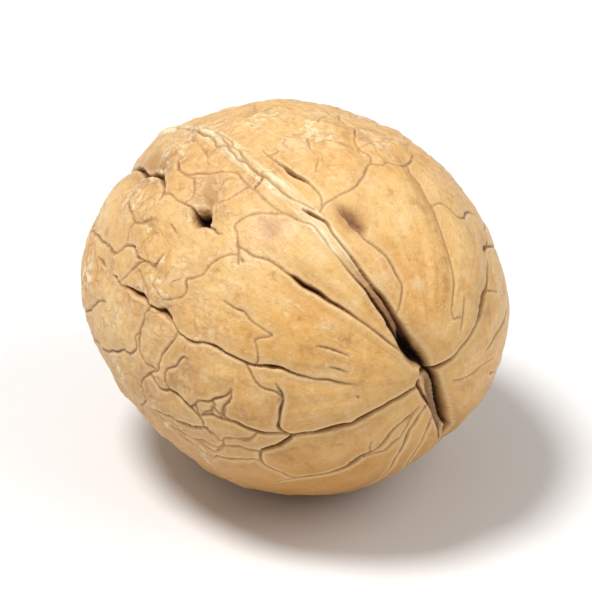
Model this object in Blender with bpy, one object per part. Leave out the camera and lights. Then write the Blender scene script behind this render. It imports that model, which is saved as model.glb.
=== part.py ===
"""A whole walnut in its shell, lying on a small flat spot on its lower seam.

The shell is one grown piece, so it is one closed solid. It starts as a ball of fine
triangles, takes the walnut's three half lengths, and then rises and sinks along the
line from its centre: broad swells, the raised seam, long grooves from the stem end,
and the net of creases towards the tip.

A place on the shell is an angle from the stem end (0 at the stem end, 180 at the tip)
and an angle round the long axis (0 on the upper seam, 180 on the lower one).
"""

import math
import random

import bmesh
import bpy
import numpy as np
from mathutils import Matrix, Vector, noise

MM = 0.001

# Driving dimensions of the nut
LENGTH = 0.0420
SEAM_WIDTH = 0.0375
CHEEK_THICKNESS = 0.0373

# How the nut lies: its stem end looks up a little, and it is rolled on to its side.
# The middle of its length lies at CENTRE, and what would reach below the surface is flat.
STEM_RISE_DEG = 5.7
ROLL_DEG = 18.7
CENTRE = (0.0007, 0.0, 0.0182)

# Grooves: a crease has this half width, and widens as it gets deeper
CREASE_HALF_WIDTH = 0.00042
WIDTH_PER_DEPTH = 0.32
SHOULDER_RADIUS = 0.0016
SHOULDER_REACH = 0.0036
SHOULDER_SHARE = 0.30
RIDGE_HALF_WIDTH = 0.00085
TROUGH_HALF_WIDTH = 0.00085
STRIP_HALF_WIDTH = 0.00040
RIDGE_REACH = 0.0026

# Lines: the steps between two of their points, and the steps of the runs that they are cut into
LINE_STEPS = 6
RUN_STEPS = 6
TENTH = 0.1 * MM

# The net of creases on the far side and the tip: rows of knots, joined to the next row.
# NET_AWAY_FROM points to the middle of the side whose creases are drawn one by one.
NET_FIRST_ROW_DEG = 50
NET_LAST_ROW_DEG = 164
NET_ROW_STEP_DEG = 12
NET_KNOTS_ROUND = 21
NET_KNOT_SHIFT = 0.34
NET_BEND_DEG = 3.6
NET_BEND_SHARES = (0.33, 0.67)
NET_DEPTHS = (2.0, 4.2)
NET_DEPTH_CHANGES = (0.6, 1.2)
NET_LEAST_KNOTS = 5
NET_AWAY_FROM = (0.751, -0.302, 0.587)
NET_EDGE = 0.08
NET_SEED = 41

# Low unevenness of the whole shell
LUMP_SIZE = 0.0085
LUMP_HEIGHT = 0.00022

# Mesh: the ball's rounds of splitting, how deep a crease has to be to get finer triangles,
# and how near its line a corner has to be to slide on to it
BALL_ROUNDS = 5
FINE_DEPTH = 0.00018
SLIDE_REACH = 0.00042
SLIDE_SPACING = 0.00045
SLIDE_DEPTH = 0.00020

SHELL_COLOUR = (0.62, 0.38, 0.17, 1.0)
SHELL_ROUGHNESS = 0.48

# Broad swells and hollows: from the stem end, round the axis, radius in mm, height in mm
SWELLS = [
    (130, -62, 6.0, 1.05),
    (100, -107, 6.0, -0.50),
    (49, 180, 4.0, -0.45),
    (52, 125, 7.0, 0.75),
    (103, 50, 9.0, -0.60),
    (132, -5, 3.5, 0.20),
    (86, -17, 2.0, -0.35),
    (38, -113, 2.6, -0.22),
    (49, 12, 1.0, -0.25),
    (69, -70, 1.3, -0.25),
    (61, -13, 1.1, -0.30),
    (84, -16, 1.0, -0.32),
    (82, -20, 0.7, -0.22),
    (106, -17, 1.0, -0.25),
    (112, -17, 1.2, -0.35),
    (118, -18, 1.2, -0.30),
    (29, -62, 1.8, -0.15),
    (80, -42, 1.7, 0.22),
    (62, -74, 2.2, 0.15),
    (96, -28, 1.8, 0.30),
    (180, 0, 2.0, 0.55),
]

# Raised seam: from the stem end, round the axis, height in tenths of a millimetre
RIDGES = {
    "upper seam": [
        (38, -1, 1), (44, -1, 3), (52, -1, 4), (60, -1, 5), (70, -1, 5), (80, -1, 5), (90, -1, 5),
        (100, 0, 4), (110, 0, 3), (120, 0, 3), (132, 0, 4), (145, 0, 6), (160, 0, 7), (172, 0, 8),
        (180, 0, 8),
    ],
    "lower seam": [
        (56, 180, 2), (70, 180, 4), (90, 180, 4), (110, 180, 5), (130, 180, 6), (150, 180, 7),
        (172, 180, 8), (180, 180, 8),
    ],
}

# Wide shallow troughs, in the same way
TROUGHS = {
    "below the stem end": [
        (3, 165, 3), (7, 172, 6), (12, 172, 7), (20, 172, 7), (28, 172, 6), (36, 171, 5), (46, 173, 2),
    ],
    "right groove": [(36, 54, 1), (42, 52, 2), (48, 50, 4), (54, 48, 5), (60, 46, 4), (65, 45, 1)],
}

# Narrow sunk strips of bark along the creases, in the same way
STRIPS = {
    "between the seam's cracks": [
        (5, 6, 7), (9, -1, 8), (14, -1, 7), (20, 0, 6), (26, -1, 5), (32, -1, 4), (37, -2, 2), (42, -2, 1),
    ],
    "below the stem end": [(3, 140, 4), (7, 166, 4), (13, 173, 4), (20, 174, 3), (28, 174, 3), (36, 174, 1)],
    "right of the seam": [(55, 9, 1), (52, 10, 3), (50, 11, 5), (48, 11, 6), (46, 12, 4), (44, 12, 1)],
}

# Creases: from the stem end, round the axis, depth in tenths of a millimetre
CREASES = {
    "stem cleft, upper": [
        (1, 90, 10), (3, 40, 14), (5, 14, 19), (8, 5, 20), (11, 2, 19), (14, 0, 14), (17, 0, 8),
        (20, 0, 4),
    ],
    "stem cleft, lower": [
        (1, -120, 8), (4, -156, 7), (7, -168, 7), (10, -176, 8), (14, -180, 8), (18, -181, 8),
        (26, -184, 8), (34, -186, 7), (42, -185, 6), (52, -182, 5), (64, -180, 3),
    ],
    "seam, left crack": [
        (4, -19, 8), (7, -11, 10), (10, -8, 11), (13, -6, 10), (16, -5, 10), (19, -4, 11),
        (22, -3, 10), (27, -3, 9), (31, -3, 7), (36, -4, 5), (40, -4, 3), (45, -4, 1), (50, -3, 2),
        (54, -3, 2), (58, -5, 1),
    ],
    "seam, right crack": [
        (5, 30, 12), (8, 15, 13), (11, 9, 12), (14, 5, 11), (17, 4, 10), (20, 3, 9), (24, 3, 9),
        (28, 2, 8), (31, 1, 6), (36, 1, 6), (42, 1, 5), (48, 1, 5), (53, 2, 6), (57, 2, 7),
        (59, 2, 3),
    ],
    "seam, left line": [
        (57, -1, 1), (61, -2, 2), (66, -2, 3), (72, -2, 3), (78, -2, 3), (84, -2, 3), (89, -1, 3),
        (94, 0, 2), (99, 1, 1),
    ],
    "seam, right line": [(80, 0, 1), (84, 0, 3), (88, 0, 3), (92, 1, 2), (96, 2, 3), (99, 2, 2)],
    "seam, tip line": [
        (88, -5, 2), (91, -3, 2), (95, -2, 3), (99, -1, 3), (104, -1, 4), (108, -1, 2),
        (114, -1, 2), (122, 0, 2),
    ],
    "seam, outer fold": [
        (62, -6, 1), (66, -7, 2), (71, -7, 2), (76, -7, 2), (80, -6, 3), (83, -7, 2), (86, -9, 2),
        (90, -11, 3), (94, -14, 3), (98, -15, 2),
    ],
    "seam, stitch": [(74, -6, 4), (74, -3, 4)],
    "seam, short line": [(92, -7, 2), (96, -6, 2), (99, -5, 1)],
    "loop right of the seam": [
        (20, 12, 1), (22, 15, 2), (25, 17, 3), (28, 18, 3), (32, 17, 4), (36, 16, 3), (40, 13, 3),
        (43, 11, 3), (46, 11, 3), (49, 10, 4), (52, 9, 3), (54, 9, 2),
    ],
    "right cross crease": [
        (56, 3, 2), (57, 7, 2), (57, 12, 2), (57, 16, 2), (58, 20, 3), (60, 24, 3), (62, 27, 3),
        (64, 30, 2), (63, 34, 2), (64, 37, 2), (63, 41, 2), (64, 45, 3), (67, 49, 3), (70, 52, 2),
    ],
    "right slope crease": [
        (64, 30, 2), (67, 32, 2), (71, 31, 2), (75, 32, 2), (77, 34, 3), (80, 36, 5), (84, 36, 4),
        (88, 37, 3), (91, 39, 2),
    ],
    "slit right of the seam": [
        (56, 3, 2), (57, 5, 2), (60, 7, 2), (64, 7, 4), (67, 6, 7), (70, 5, 8), (73, 5, 6),
        (76, 5, 3), (80, 5, 2), (83, 5, 1),
    ],
    "right bracket": [(80, 7, 3), (79, 9, 2), (80, 10, 1)],
    "right wrinkle": [(66, 11, 1), (68, 13, 2), (70, 15, 1), (74, 16, 1), (77, 17, 2), (80, 19, 1)],
    "right dash, first": [(83, 16, 2), (83, 18, 3), (83, 20, 1)],
    "right dash, second": [(84, 26, 1), (87, 29, 2), (89, 33, 2)],
    "right dash, third": [(90, 21, 2), (92, 24, 1)],
    "right groove": [
        (20, 61, 1), (24, 60, 2), (30, 57, 2), (35, 54, 2), (40, 52, 2), (45, 51, 3), (50, 50, 3),
        (56, 48, 2), (61, 46, 2), (64, 46, 2),
    ],
    "right link": [
        (51, 50, 2), (52, 54, 2), (51, 59, 2), (50, 62, 3), (51, 66, 3), (53, 68, 4), (56, 71, 4),
        (58, 75, 3), (59, 78, 2),
    ],
    "right cheek groove": [
        (2, 98, 12), (4, 107, 11), (7, 104, 8), (11, 102, 6), (15, 97, 5), (21, 94, 4),
        (25, 92, 5), (28, 91, 9), (31, 89, 11), (34, 88, 11), (38, 87, 7), (42, 85, 8),
        (45, 84, 5), (48, 82, 10), (51, 84, 5), (55, 89, 4), (59, 93, 3), (64, 98, 3),
    ],
    "right cheek branch": [(49, 81, 3), (53, 83, 4), (58, 84, 4), (63, 87, 3), (68, 91, 3)],
    "right cheek twig": [(36, 90, 3), (39, 94, 2), (42, 97, 1)],
    "right faint band": [(19, 61, 1), (18, 68, 2), (20, 73, 2), (22, 79, 1)],
    "left seam groove": [
        (8, -14, 2), (12, -16, 3), (17, -17, 4), (22, -18, 3), (27, -19, 4), (32, -20, 6),
        (36, -21, 7), (40, -21, 9), (44, -22, 10), (47, -22, 8), (50, -22, 4), (55, -22, 3),
        (60, -23, 3), (64, -22, 2),
    ],
    "left link": [
        (62, -27, 2), (64, -25, 3), (66, -23, 3), (68, -21, 2), (70, -19, 2), (69, -15, 2),
        (66, -11, 2), (62, -7, 2), (58, -5, 2),
    ],
    "round cell": [
        (61, -30, 4), (62, -29, 2), (64, -28, 2), (66, -29, 2), (68, -30, 2), (69, -33, 3),
        (70, -37, 2), (72, -39, 2), (74, -41, 4), (73, -44, 3), (74, -46, 2), (76, -48, 2),
        (79, -49, 2), (82, -48, 2), (85, -46, 2),
    ],
    "pit": [
        (71, -23, 2), (73, -24, 4), (75, -24, 5), (77, -24, 6), (79, -23, 15), (81, -23, 22),
        (83, -23, 13), (85, -22, 5), (88, -22, 3), (92, -22, 2), (96, -22, 2),
    ],
    "pit, right line": [(79, -18, 1), (77, -14, 2), (76, -10, 2), (75, -7, 2)],
    "tip arch, small cell": [(97, -16, 1), (93, -15, 2), (90, -16, 2), (88, -19, 2), (88, -22, 2)],
    "tip arch": [(96, -25, 4), (97, -23, 5), (99, -21, 7), (102, -21, 9), (106, -21, 12)],
    "tip cleft": [
        (98, -19, 4), (101, -18, 8), (105, -18, 11), (109, -19, 13), (113, -20, 12),
        (117, -20, 10), (121, -19, 9), (126, -20, 10), (131, -21, 12), (135, -22, 13),
        (139, -22, 11), (145, -20, 8), (154, -18, 4),
    ],
    "tip spot": [(99, -15, 2), (101, -13, 7), (103, -12, 2)],
    "left cheek groove": [
        (20, -64, 1), (24, -64, 3), (28, -62, 4), (32, -62, 3), (35, -61, 4), (38, -60, 5),
        (41, -59, 6), (44, -59, 8), (46, -59, 6), (49, -60, 5), (53, -59, 5), (57, -58, 5),
        (61, -57, 6), (64, -57, 4), (66, -58, 5), (69, -58, 5), (72, -57, 3), (75, -55, 5),
        (77, -54, 10), (79, -53, 11), (81, -53, 6), (84, -53, 6), (87, -52, 9), (90, -52, 9),
        (93, -52, 6), (97, -53, 3), (101, -52, 6), (103, -52, 3),
    ],
    "left faint groove": [(23, -44, 1), (27, -43, 3), (31, -43, 3), (35, -44, 1)],
    "left cell line": [
        (49, -58, 3), (48, -56, 3), (49, -52, 2), (50, -50, 2), (48, -48, 2), (46, -46, 3),
        (48, -45, 2), (52, -44, 2), (55, -42, 3), (58, -42, 3), (62, -41, 2),
    ],
    "left cross crease": [
        (41, -94, 5), (43, -91, 5), (44, -88, 6), (43, -84, 5), (42, -79, 6), (41, -75, 5),
        (41, -71, 5), (42, -68, 4), (43, -65, 2),
    ],
    "left cross branch": [
        (41, -73, 4), (43, -70, 3), (46, -69, 3), (48, -67, 3), (50, -64, 3), (52, -61, 3),
    ],
    "left dash, first": [(20, -78, 2), (20, -76, 5), (21, -74, 2)],
    "left dash, second": [(38, -72, 1), (40, -74, 2), (41, -76, 1)],
    "star, stem": [
        (42, -93, 3), (45, -91, 4), (49, -90, 6), (52, -88, 6), (55, -85, 6), (57, -84, 5),
        (60, -83, 4), (63, -82, 4), (66, -83, 3),
    ],
    "star, right arm": [
        (57, -84, 5), (59, -81, 4), (58, -78, 4), (56, -76, 4), (55, -73, 3), (55, -71, 2),
    ],
    "star, second arm": [
        (55, -70, 3), (57, -73, 4), (60, -75, 5), (62, -77, 4), (65, -77, 3), (67, -79, 4),
        (68, -80, 4),
    ],
    "star, link": [(62, -82, 3), (61, -79, 2), (60, -76, 2)],
    "star, lower": [
        (64, -90, 3), (66, -88, 4), (66, -85, 4), (68, -82, 5), (71, -80, 6), (75, -78, 6),
        (79, -78, 4), (82, -76, 4), (84, -75, 3),
    ],
    "star, left edge": [
        (66, -89, 4), (69, -90, 5), (73, -90, 6), (78, -90, 5), (82, -89, 4), (86, -89, 2),
    ],
    "star, left twig": [(52, -92, 3), (55, -94, 3), (58, -93, 2)],
    "star, left cell": [
        (67, -99, 3), (65, -97, 3), (63, -95, 3), (61, -92, 3), (57, -92, 3), (53, -92, 3),
        (50, -90, 4),
    ],
    "cell, upper edge": [
        (77, -77, 4), (77, -73, 3), (76, -70, 3), (73, -68, 3), (72, -66, 4), (70, -64, 4),
        (68, -64, 2),
    ],
    "cell, lower edge": [
        (83, -75, 3), (80, -73, 3), (79, -70, 3), (77, -66, 3), (75, -62, 3), (74, -59, 2),
    ],
    "cell, left tail": [
        (83, -75, 4), (86, -77, 3), (88, -80, 3), (89, -84, 3), (89, -87, 3), (92, -90, 3),
        (95, -93, 2),
    ],
    "flank, upper": [
        (79, -73, 2), (82, -73, 3), (85, -71, 3), (86, -68, 4), (86, -64, 4), (85, -61, 3),
    ],
    "flank, lower": [
        (93, -72, 3), (90, -71, 4), (88, -68, 4), (88, -65, 3), (86, -61, 4), (85, -57, 3),
        (83, -54, 3),
    ],
    "flank, tail": [
        (90, -71, 3), (94, -72, 3), (98, -74, 5), (102, -76, 4), (107, -78, 4), (113, -80, 3),
        (118, -80, 2),
    ],
    "flank, long crease": [
        (103, -61, 3), (107, -62, 3), (111, -65, 4), (115, -69, 4), (119, -72, 4), (124, -74, 3),
        (129, -74, 2),
    ],
    "cheek, arc": [
        (98, -50, 2), (95, -47, 3), (92, -44, 4), (89, -42, 3), (86, -42, 4), (85, -40, 4),
        (84, -37, 2),
    ],
    "cheek, fall": [
        (90, -42, 3), (94, -42, 5), (98, -41, 5), (101, -42, 4), (104, -45, 3), (107, -46, 3),
    ],
    "cheek, right line": [(95, -31, 3), (98, -33, 3), (101, -35, 3), (105, -35, 2)],
    "cheek, dent": [(83, -31, 1), (86, -30, 4), (88, -29, 1)],
    "tip dent, first": [(108, -51, 3), (110, -51, 6), (113, -50, 3)],
    "tip dent, second": [(109, -42, 2), (110, -42, 5), (111, -42, 2)],
    "low left, upright": [
        (73, -104, 2), (70, -104, 3), (68, -103, 4), (63, -103, 5), (59, -103, 4), (57, -103, 3),
        (56, -106, 4),
    ],
    "low left, cross": [
        (52, -99, 5), (54, -102, 5), (55, -106, 4), (54, -110, 4), (53, -114, 4), (52, -118, 4),
        (50, -121, 4),
    ],
    "low left groove": [
        (2, -130, 5), (4, -124, 6), (5, -116, 6), (8, -107, 7), (11, -101, 7), (14, -99, 7),
        (18, -98, 8), (21, -98, 9), (24, -98, 7), (27, -97, 9), (31, -96, 9), (35, -95, 6),
        (38, -94, 6), (41, -94, 6), (43, -96, 8), (46, -98, 9), (49, -99, 9), (52, -99, 7),
    ],
    "stem cleft, lower right": [
        (3, 115, 12), (6, 139, 13), (9, 154, 13), (13, 163, 13), (20, 168, 13), (27, 169, 12),
        (33, 168, 10), (41, 171, 7), (50, 175, 5),
    ],
    "low cell line": [
        (64, -97, 3), (62, -96, 3), (60, -96, 3), (58, -96, 3), (56, -97, 3), (54, -98, 4),
        (54, -100, 3),
    ],
    "flank wrinkle": [
        (82, -96, 2), (79, -96, 3), (76, -96, 3), (73, -96, 3), (69, -96, 3), (65, -97, 3),
    ],
    "flank wrinkle, lower": [(79, -99, 2), (77, -100, 3), (74, -101, 3), (71, -103, 2)],
    "small cells, first": [
        (61, -77, 3), (60, -78, 3), (61, -79, 3), (62, -81, 3), (64, -82, 3), (65, -84, 3),
    ],
    "small cells, second": [
        (61, -79, 3), (60, -81, 3), (59, -82, 3), (58, -80, 3), (57, -77, 3), (55, -74, 3),
    ],
    "small cells, third": [(66, -80, 3), (66, -82, 3), (66, -84, 3)],
    "left dash, third": [(29, -54, 2), (26, -54, 3), (23, -55, 2)],
    "limb fold": [(128, -47, 2), (121, -46, 3), (113, -46, 4), (107, -46, 3), (103, -48, 2)],
    "tip cell, first": [
        (112, -28, 2), (109, -31, 2), (104, -33, 2), (101, -34, 3), (102, -37, 2), (101, -41, 2),
    ],
    "tip cell, second": [(101, -34, 2), (97, -33, 2), (95, -31, 2)],
    "low flank cell": [
        (84, -93, 2), (78, -94, 3), (72, -97, 3), (68, -100, 3), (63, -96, 2), (65, -91, 2),
    ],
    "right far line": [
        (55, 90, 2), (58, 100, 2), (52, 107, 2), (45, 111, 3), (34, 113, 3), (26, 117, 2),
    ],
    "right upright": [(28, 66, 1), (22, 74, 2), (16, 82, 1)],
    "right flank wrinkle": [(12, 137, 2), (19, 132, 2), (27, 126, 2), (36, 124, 1)],
    "under pleat, left": [
        (15, -176, 2), (20, -170, 4), (25, -167, 4), (32, -165, 4), (37, -164, 3),
    ],
    "under pleat, short": [(10, -153, 2), (13, -145, 3), (17, -145, 3), (20, -144, 2)],
    "low cheek fold": [(20, -143, 2), (23, -140, 3), (26, -139, 3), (29, -134, 3), (33, -131, 3)],
    "low cheek groove": [
        (18, -138, 2), (24, -134, 4), (28, -131, 6), (31, -129, 9), (34, -129, 10), (37, -129, 8),
        (41, -127, 6), (45, -125, 6), (49, -122, 6), (53, -120, 4), (58, -119, 3),
    ],
    "low cheek dash": [(24, -121, 3), (26, -124, 3), (28, -128, 2)],
    "under groove, short": [
        (10, -155, 2), (12, -145, 3), (17, -134, 4), (22, -132, 4), (27, -131, 3),
    ],
    "under groove": [
        (11, -172, 3), (13, -158, 5), (16, -153, 5), (19, -151, 6), (24, -151, 5), (30, -152, 5),
        (39, -155, 4), (47, -157, 4), (54, -156, 3),
    ],
    "far groove, first": [
        (34, 132, 3), (38, 134, 5), (46, 131, 6), (54, 127, 8), (62, 130, 5), (70, 134, 6),
        (80, 131, 4), (90, 126, 5), (100, 129, 4),
    ],
    "far groove, second": [(36, 158, 3), (44, 156, 5), (56, 151, 6), (66, 154, 4), (78, 149, 5)],
    "far groove, third": [
        (16, -166, 3), (24, -168, 5), (36, -165, 6), (46, -169, 4), (58, -164, 5), (70, -167, 5),
        (84, -160, 4),
    ],
    "far groove, fourth": [
        (70, 104, 4), (78, 109, 5), (88, 106, 7), (98, 110, 5), (108, 104, 5), (118, 108, 4),
        (130, 102, 5), (142, 108, 4),
    ],
    "far groove, fifth": [
        (66, -140, 4), (76, -136, 6), (86, -141, 5), (96, -137, 6), (108, -142, 5), (120, -136, 5),
        (134, -141, 4),
    ],
    "far groove, sixth": [(100, 72, 4), (110, 76, 5), (122, 71, 6), (134, 76, 5), (146, 72, 4)],
    "far groove, seventh": [(112, -108, 4), (124, -104, 5), (136, -109, 5), (148, -104, 4)],
}


def half_lengths():
    """The nut's half length, half thickness through the cheeks and half width in the seam's plane."""
    return np.array([LENGTH, CHEEK_THICKNESS, SEAM_WIDTH]) / 2.0


def directions(from_stem_deg, round_deg):
    """Unit directions in the nut's own axes: stem end, right cheek, upper seam."""
    from_stem = np.radians(np.asarray(from_stem_deg, dtype=float))
    around = np.radians(np.asarray(round_deg, dtype=float))
    return np.stack(
        [np.cos(from_stem), np.sin(from_stem) * np.sin(around), np.sin(from_stem) * np.cos(around)],
        axis=-1,
    )


def net_row(draw, from_stem):
    """One row of knots round the nut, each moved a little off its even place."""
    count = max(NET_LEAST_KNOTS, round(NET_KNOTS_ROUND * math.sin(math.radians(from_stem))))
    turn = 360.0 / count
    first = draw.uniform(0.0, turn)
    knots = []
    for number in range(count):
        along = from_stem + draw.uniform(-NET_KNOT_SHIFT, NET_KNOT_SHIFT) * NET_ROW_STEP_DEG
        around = first + (number + draw.uniform(-NET_KNOT_SHIFT, NET_KNOT_SHIFT)) * turn
        knots.append((along, around))
    return knots


def turn_between(first, second):
    """The short way round from one knot to another, in degrees."""
    return (second[1] - first[1] + 180.0) % 360.0 - 180.0


def net_crease(draw, start, end):
    """A bent crease between two knots."""
    turn = turn_between(start, end)
    depth = draw.uniform(*NET_DEPTHS)
    points = [(start[0], start[1], depth)]
    for share in NET_BEND_SHARES:
        along = start[0] + share * (end[0] - start[0]) + draw.uniform(-NET_BEND_DEG, NET_BEND_DEG)
        around = start[1] + share * turn + draw.uniform(-NET_BEND_DEG, NET_BEND_DEG)
        points.append((along, around, depth * draw.uniform(*NET_DEPTH_CHANGES)))
    points.append((end[0], start[1] + turn, depth))
    return points


def far_net():
    """The net's creases: each knot is joined to the next row, and every other one to its neighbour."""
    draw = random.Random(NET_SEED)
    rows = [net_row(draw, row) for row in range(NET_FIRST_ROW_DEG, NET_LAST_ROW_DEG, NET_ROW_STEP_DEG)]
    creases = []
    for row, next_row in zip(rows, rows[1:]):
        for number, knot in enumerate(row):
            below = min(next_row, key=lambda other: abs(turn_between(knot, other)))
            creases.append(net_crease(draw, knot, below))
            if number % 2:
                creases.append(net_crease(draw, knot, row[number - 1]))
    away_from = Vector(NET_AWAY_FROM)
    return [
        crease
        for crease in creases
        if all(Vector(directions(point[0], point[1])).dot(away_from) < NET_EDGE for point in crease)
    ]


def traced(points):
    """A smooth line through a crease's points: its places on the bare shell and its depths."""
    rows = np.array(points, dtype=float)
    rows = np.vstack([2 * rows[0] - rows[1], rows, 2 * rows[-1] - rows[-2]])
    line = []
    for first, second, third, fourth in zip(rows, rows[1:], rows[2:], rows[3:]):
        for step in range(LINE_STEPS):
            t = step / LINE_STEPS
            line.append(
                0.5
                * (
                    2 * second
                    + (third - first) * t
                    + (2 * first - 5 * second + 4 * third - fourth) * t ** 2
                    + (3 * second - first - 3 * third + fourth) * t ** 3
                )
            )
    line.append(rows[-2])
    line = np.array(line)
    places = directions(line[:, 0], line[:, 1]) * half_lengths()
    return places, np.maximum(line[:, 2], 0.0) * TENTH


def short_runs(lines):
    """Every line's places and heights, cut into short runs that share their end points."""
    for points in lines:
        places, heights = traced(points)
        for start in range(0, len(places) - 1, RUN_STEPS):
            end = start + RUN_STEPS + 1
            yield places[start:end], heights[start:end]


def nearest_on_line(points, places, depths):
    """For each point, its distance to the line, the line's depth there and its nearest place."""
    starts = places[:-1]
    spans = places[1:] - starts
    lengths = (spans ** 2).sum(axis=1)
    offsets = points[:, None, :] - starts[None, :, :]
    along = np.clip((offsets * spans).sum(axis=2) / lengths, 0.0, 1.0)
    gaps = np.linalg.norm(offsets - along[:, :, None] * spans, axis=2)
    best = gaps.argmin(axis=1)
    rows = np.arange(len(points))
    share = along[rows, best]
    depth = depths[best] * (1.0 - share) + depths[best + 1] * share
    foot = starts[best] + share[:, None] * spans[best]
    return gaps[rows, best], depth, foot


def close_to(points, places, reach):
    """Which points lie within reach of the ball round a line."""
    middle = (places.min(axis=0) + places.max(axis=0)) / 2.0
    radius = np.linalg.norm(places - middle, axis=1).max() + reach
    return np.flatnonzero(np.linalg.norm(points - middle, axis=1) < radius)


def all_creases():
    """The creases drawn one by one, and those of the net."""
    return list(CREASES.values()) + far_net()


def carved(points):
    """How deep the creases lie, and how deep their soft shoulders are, at each point."""
    valley = np.zeros(len(points))
    shoulder = np.zeros(len(points))
    for places, depths in short_runs(all_creases()):
        near = close_to(points, places, SHOULDER_REACH)
        if not len(near):
            continue
        gap, depth, _ = nearest_on_line(points[near], places, depths)
        width = CREASE_HALF_WIDTH + WIDTH_PER_DEPTH * depth
        valley[near] = np.maximum(valley[near], depth * np.exp(-((gap / width) ** 2)))
        soft = SHOULDER_SHARE * depth * np.exp(-((gap / SHOULDER_RADIUS) ** 2))
        shoulder[near] = np.maximum(shoulder[near], soft)
    return valley, shoulder


def raised(points, lines, half_width):
    """Height of the soft banks along some lines, at each point."""
    height = np.zeros(len(points))
    for places, heights in short_runs(lines.values()):
        near = close_to(points, places, RIDGE_REACH)
        if not len(near):
            continue
        gap, rise, _ = nearest_on_line(points[near], places, heights)
        height[near] = np.maximum(height[near], rise * np.exp(-((gap / half_width) ** 2)))
    return height


def swollen(points):
    """Height of the broad swells and hollows at each point."""
    height = np.zeros(len(points))
    for from_stem, around, radius, rise in SWELLS:
        middle = directions(from_stem, around) * half_lengths()
        gap = np.linalg.norm(points - middle, axis=1)
        height += rise * MM * np.exp(-0.5 * (gap / (radius * MM)) ** 2)
    return height


def lumpy(points):
    """Low unevenness of the shell at each point."""
    return np.array([LUMP_HEIGHT * noise.noise(Vector(place) / LUMP_SIZE) for place in points])


def shell_places(units):
    """Where the shell's surface lies, in the nut's own axes, for unit directions."""
    points = units * half_lengths()
    valley, shoulder = carved(points)
    height = swollen(points) + lumpy(points)
    height += raised(points, RIDGES, RIDGE_HALF_WIDTH) - raised(points, TROUGHS, TROUGH_HALF_WIDTH)
    height -= np.maximum(valley, raised(points, STRIPS, STRIP_HALF_WIDTH)) + shoulder
    reach = np.linalg.norm(points, axis=1)
    return points * (1.0 + height / reach)[:, None]


def laid_down():
    """The turn from the nut's own axes to how it lies."""
    rise = Matrix.Rotation(math.radians(-STEM_RISE_DEG), 3, "Y")
    roll = Matrix.Rotation(math.radians(ROLL_DEG), 3, "X")
    return np.array(rise @ roll)


def unit_directions(mesh):
    """The ball's corners as unit directions."""
    corners = np.array([corner.co for corner in mesh.verts])
    return corners / np.linalg.norm(corners, axis=1)[:, None]


def fine_ball():
    """A ball of triangles, split once more where the deeper creases run."""
    ball = bmesh.new()
    bmesh.ops.create_icosphere(ball, subdivisions=BALL_ROUNDS, radius=1.0)
    points = unit_directions(ball) * half_lengths()
    valley, _ = carved(points)
    deep = valley > FINE_DEPTH
    ball.verts.ensure_lookup_table()
    creased = [edge for edge in ball.edges if any(deep[corner.index] for corner in edge.verts)]
    bmesh.ops.subdivide_edges(ball, edges=creased, cuts=1, use_grid_fill=True)
    bmesh.ops.triangulate(ball, faces=ball.faces)
    ball.verts.index_update()
    ball.verts.ensure_lookup_table()
    return ball


def closes_a_face(corner, slid):
    """Whether both other corners of one of this corner's faces already lie on a crease's line."""
    for face in corner.link_faces:
        if all(other.index in slid for other in face.verts if other is not corner):
            return True
    return False


def slid_to_creases(ball):
    """The ball's corners in the nut's own axes, those close beside a crease slid on to its line."""
    points = unit_directions(ball) * half_lengths()
    slid = set()
    for crease in all_creases():
        places, depths = traced(crease)
        near = close_to(points, places, SLIDE_REACH)
        gaps, depth, feet = nearest_on_line(points[near], places, depths)
        taken = np.empty((0, 3))
        for row in np.argsort(gaps):
            corner = ball.verts[near[row]]
            foot = feet[row]
            if gaps[row] > SLIDE_REACH or depth[row] < SLIDE_DEPTH or corner.index in slid:
                continue
            if len(taken) and np.linalg.norm(taken - foot, axis=1).min() < SLIDE_SPACING:
                continue
            if closes_a_face(corner, slid):
                continue
            points[corner.index] = foot
            slid.add(corner.index)
            taken = np.vstack([taken, foot])
    units = points / half_lengths()
    return units / np.linalg.norm(units, axis=1)[:, None]


def flattened(places):
    """The lowest part of the shell, brought up to one level: the spot that it rests on."""
    level = -CENTRE[2]
    below = places[:, 2] < level
    places[below] *= (level / places[below, 2])[:, None]
    places[below, 2] = level
    return places


def shell_material():
    """Matt golden-brown shell."""
    material = bpy.data.materials.new("walnut shell")
    material.use_nodes = True
    surface = material.node_tree.nodes["Principled BSDF"]
    surface.inputs["Base Color"].default_value = SHELL_COLOUR
    surface.inputs["Roughness"].default_value = SHELL_ROUGHNESS
    surface.inputs["Metallic"].default_value = 0.0
    return material


def walnut(collection):
    """The whole nut, lying with its rest spot at the origin's height."""
    ball = fine_ball()
    places = flattened(shell_places(slid_to_creases(ball)) @ laid_down().T) + CENTRE
    for corner, place in zip(ball.verts, places):
        corner.co = place
    mesh = bpy.data.meshes.new("walnut")
    ball.to_mesh(mesh)
    ball.free()
    mesh.shade_smooth()
    mesh.materials.append(shell_material())
    nut = bpy.data.objects.new("walnut", mesh)
    collection.objects.link(nut)
    return nut


def main():
    for old in list(bpy.data.objects):
        bpy.data.objects.remove(old, do_unlink=True)
    collection = bpy.data.collections.new("Walnut")
    bpy.context.scene.collection.children.link(collection)
    walnut(collection)


main()
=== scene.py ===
"""The walnut's look: its shell as a fine mesh with creases, seam and wrinkles, its colours, and the stage.

A place on the shell is an angle from the stem end (0 at the stem end, 180 at the tip)
and an angle round the long axis (0 on the upper seam, 180 on the lower one).
"""

import math
import random

import bmesh
import bpy
import numpy as np
from mathutils import Matrix, Vector, kdtree, noise


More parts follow.
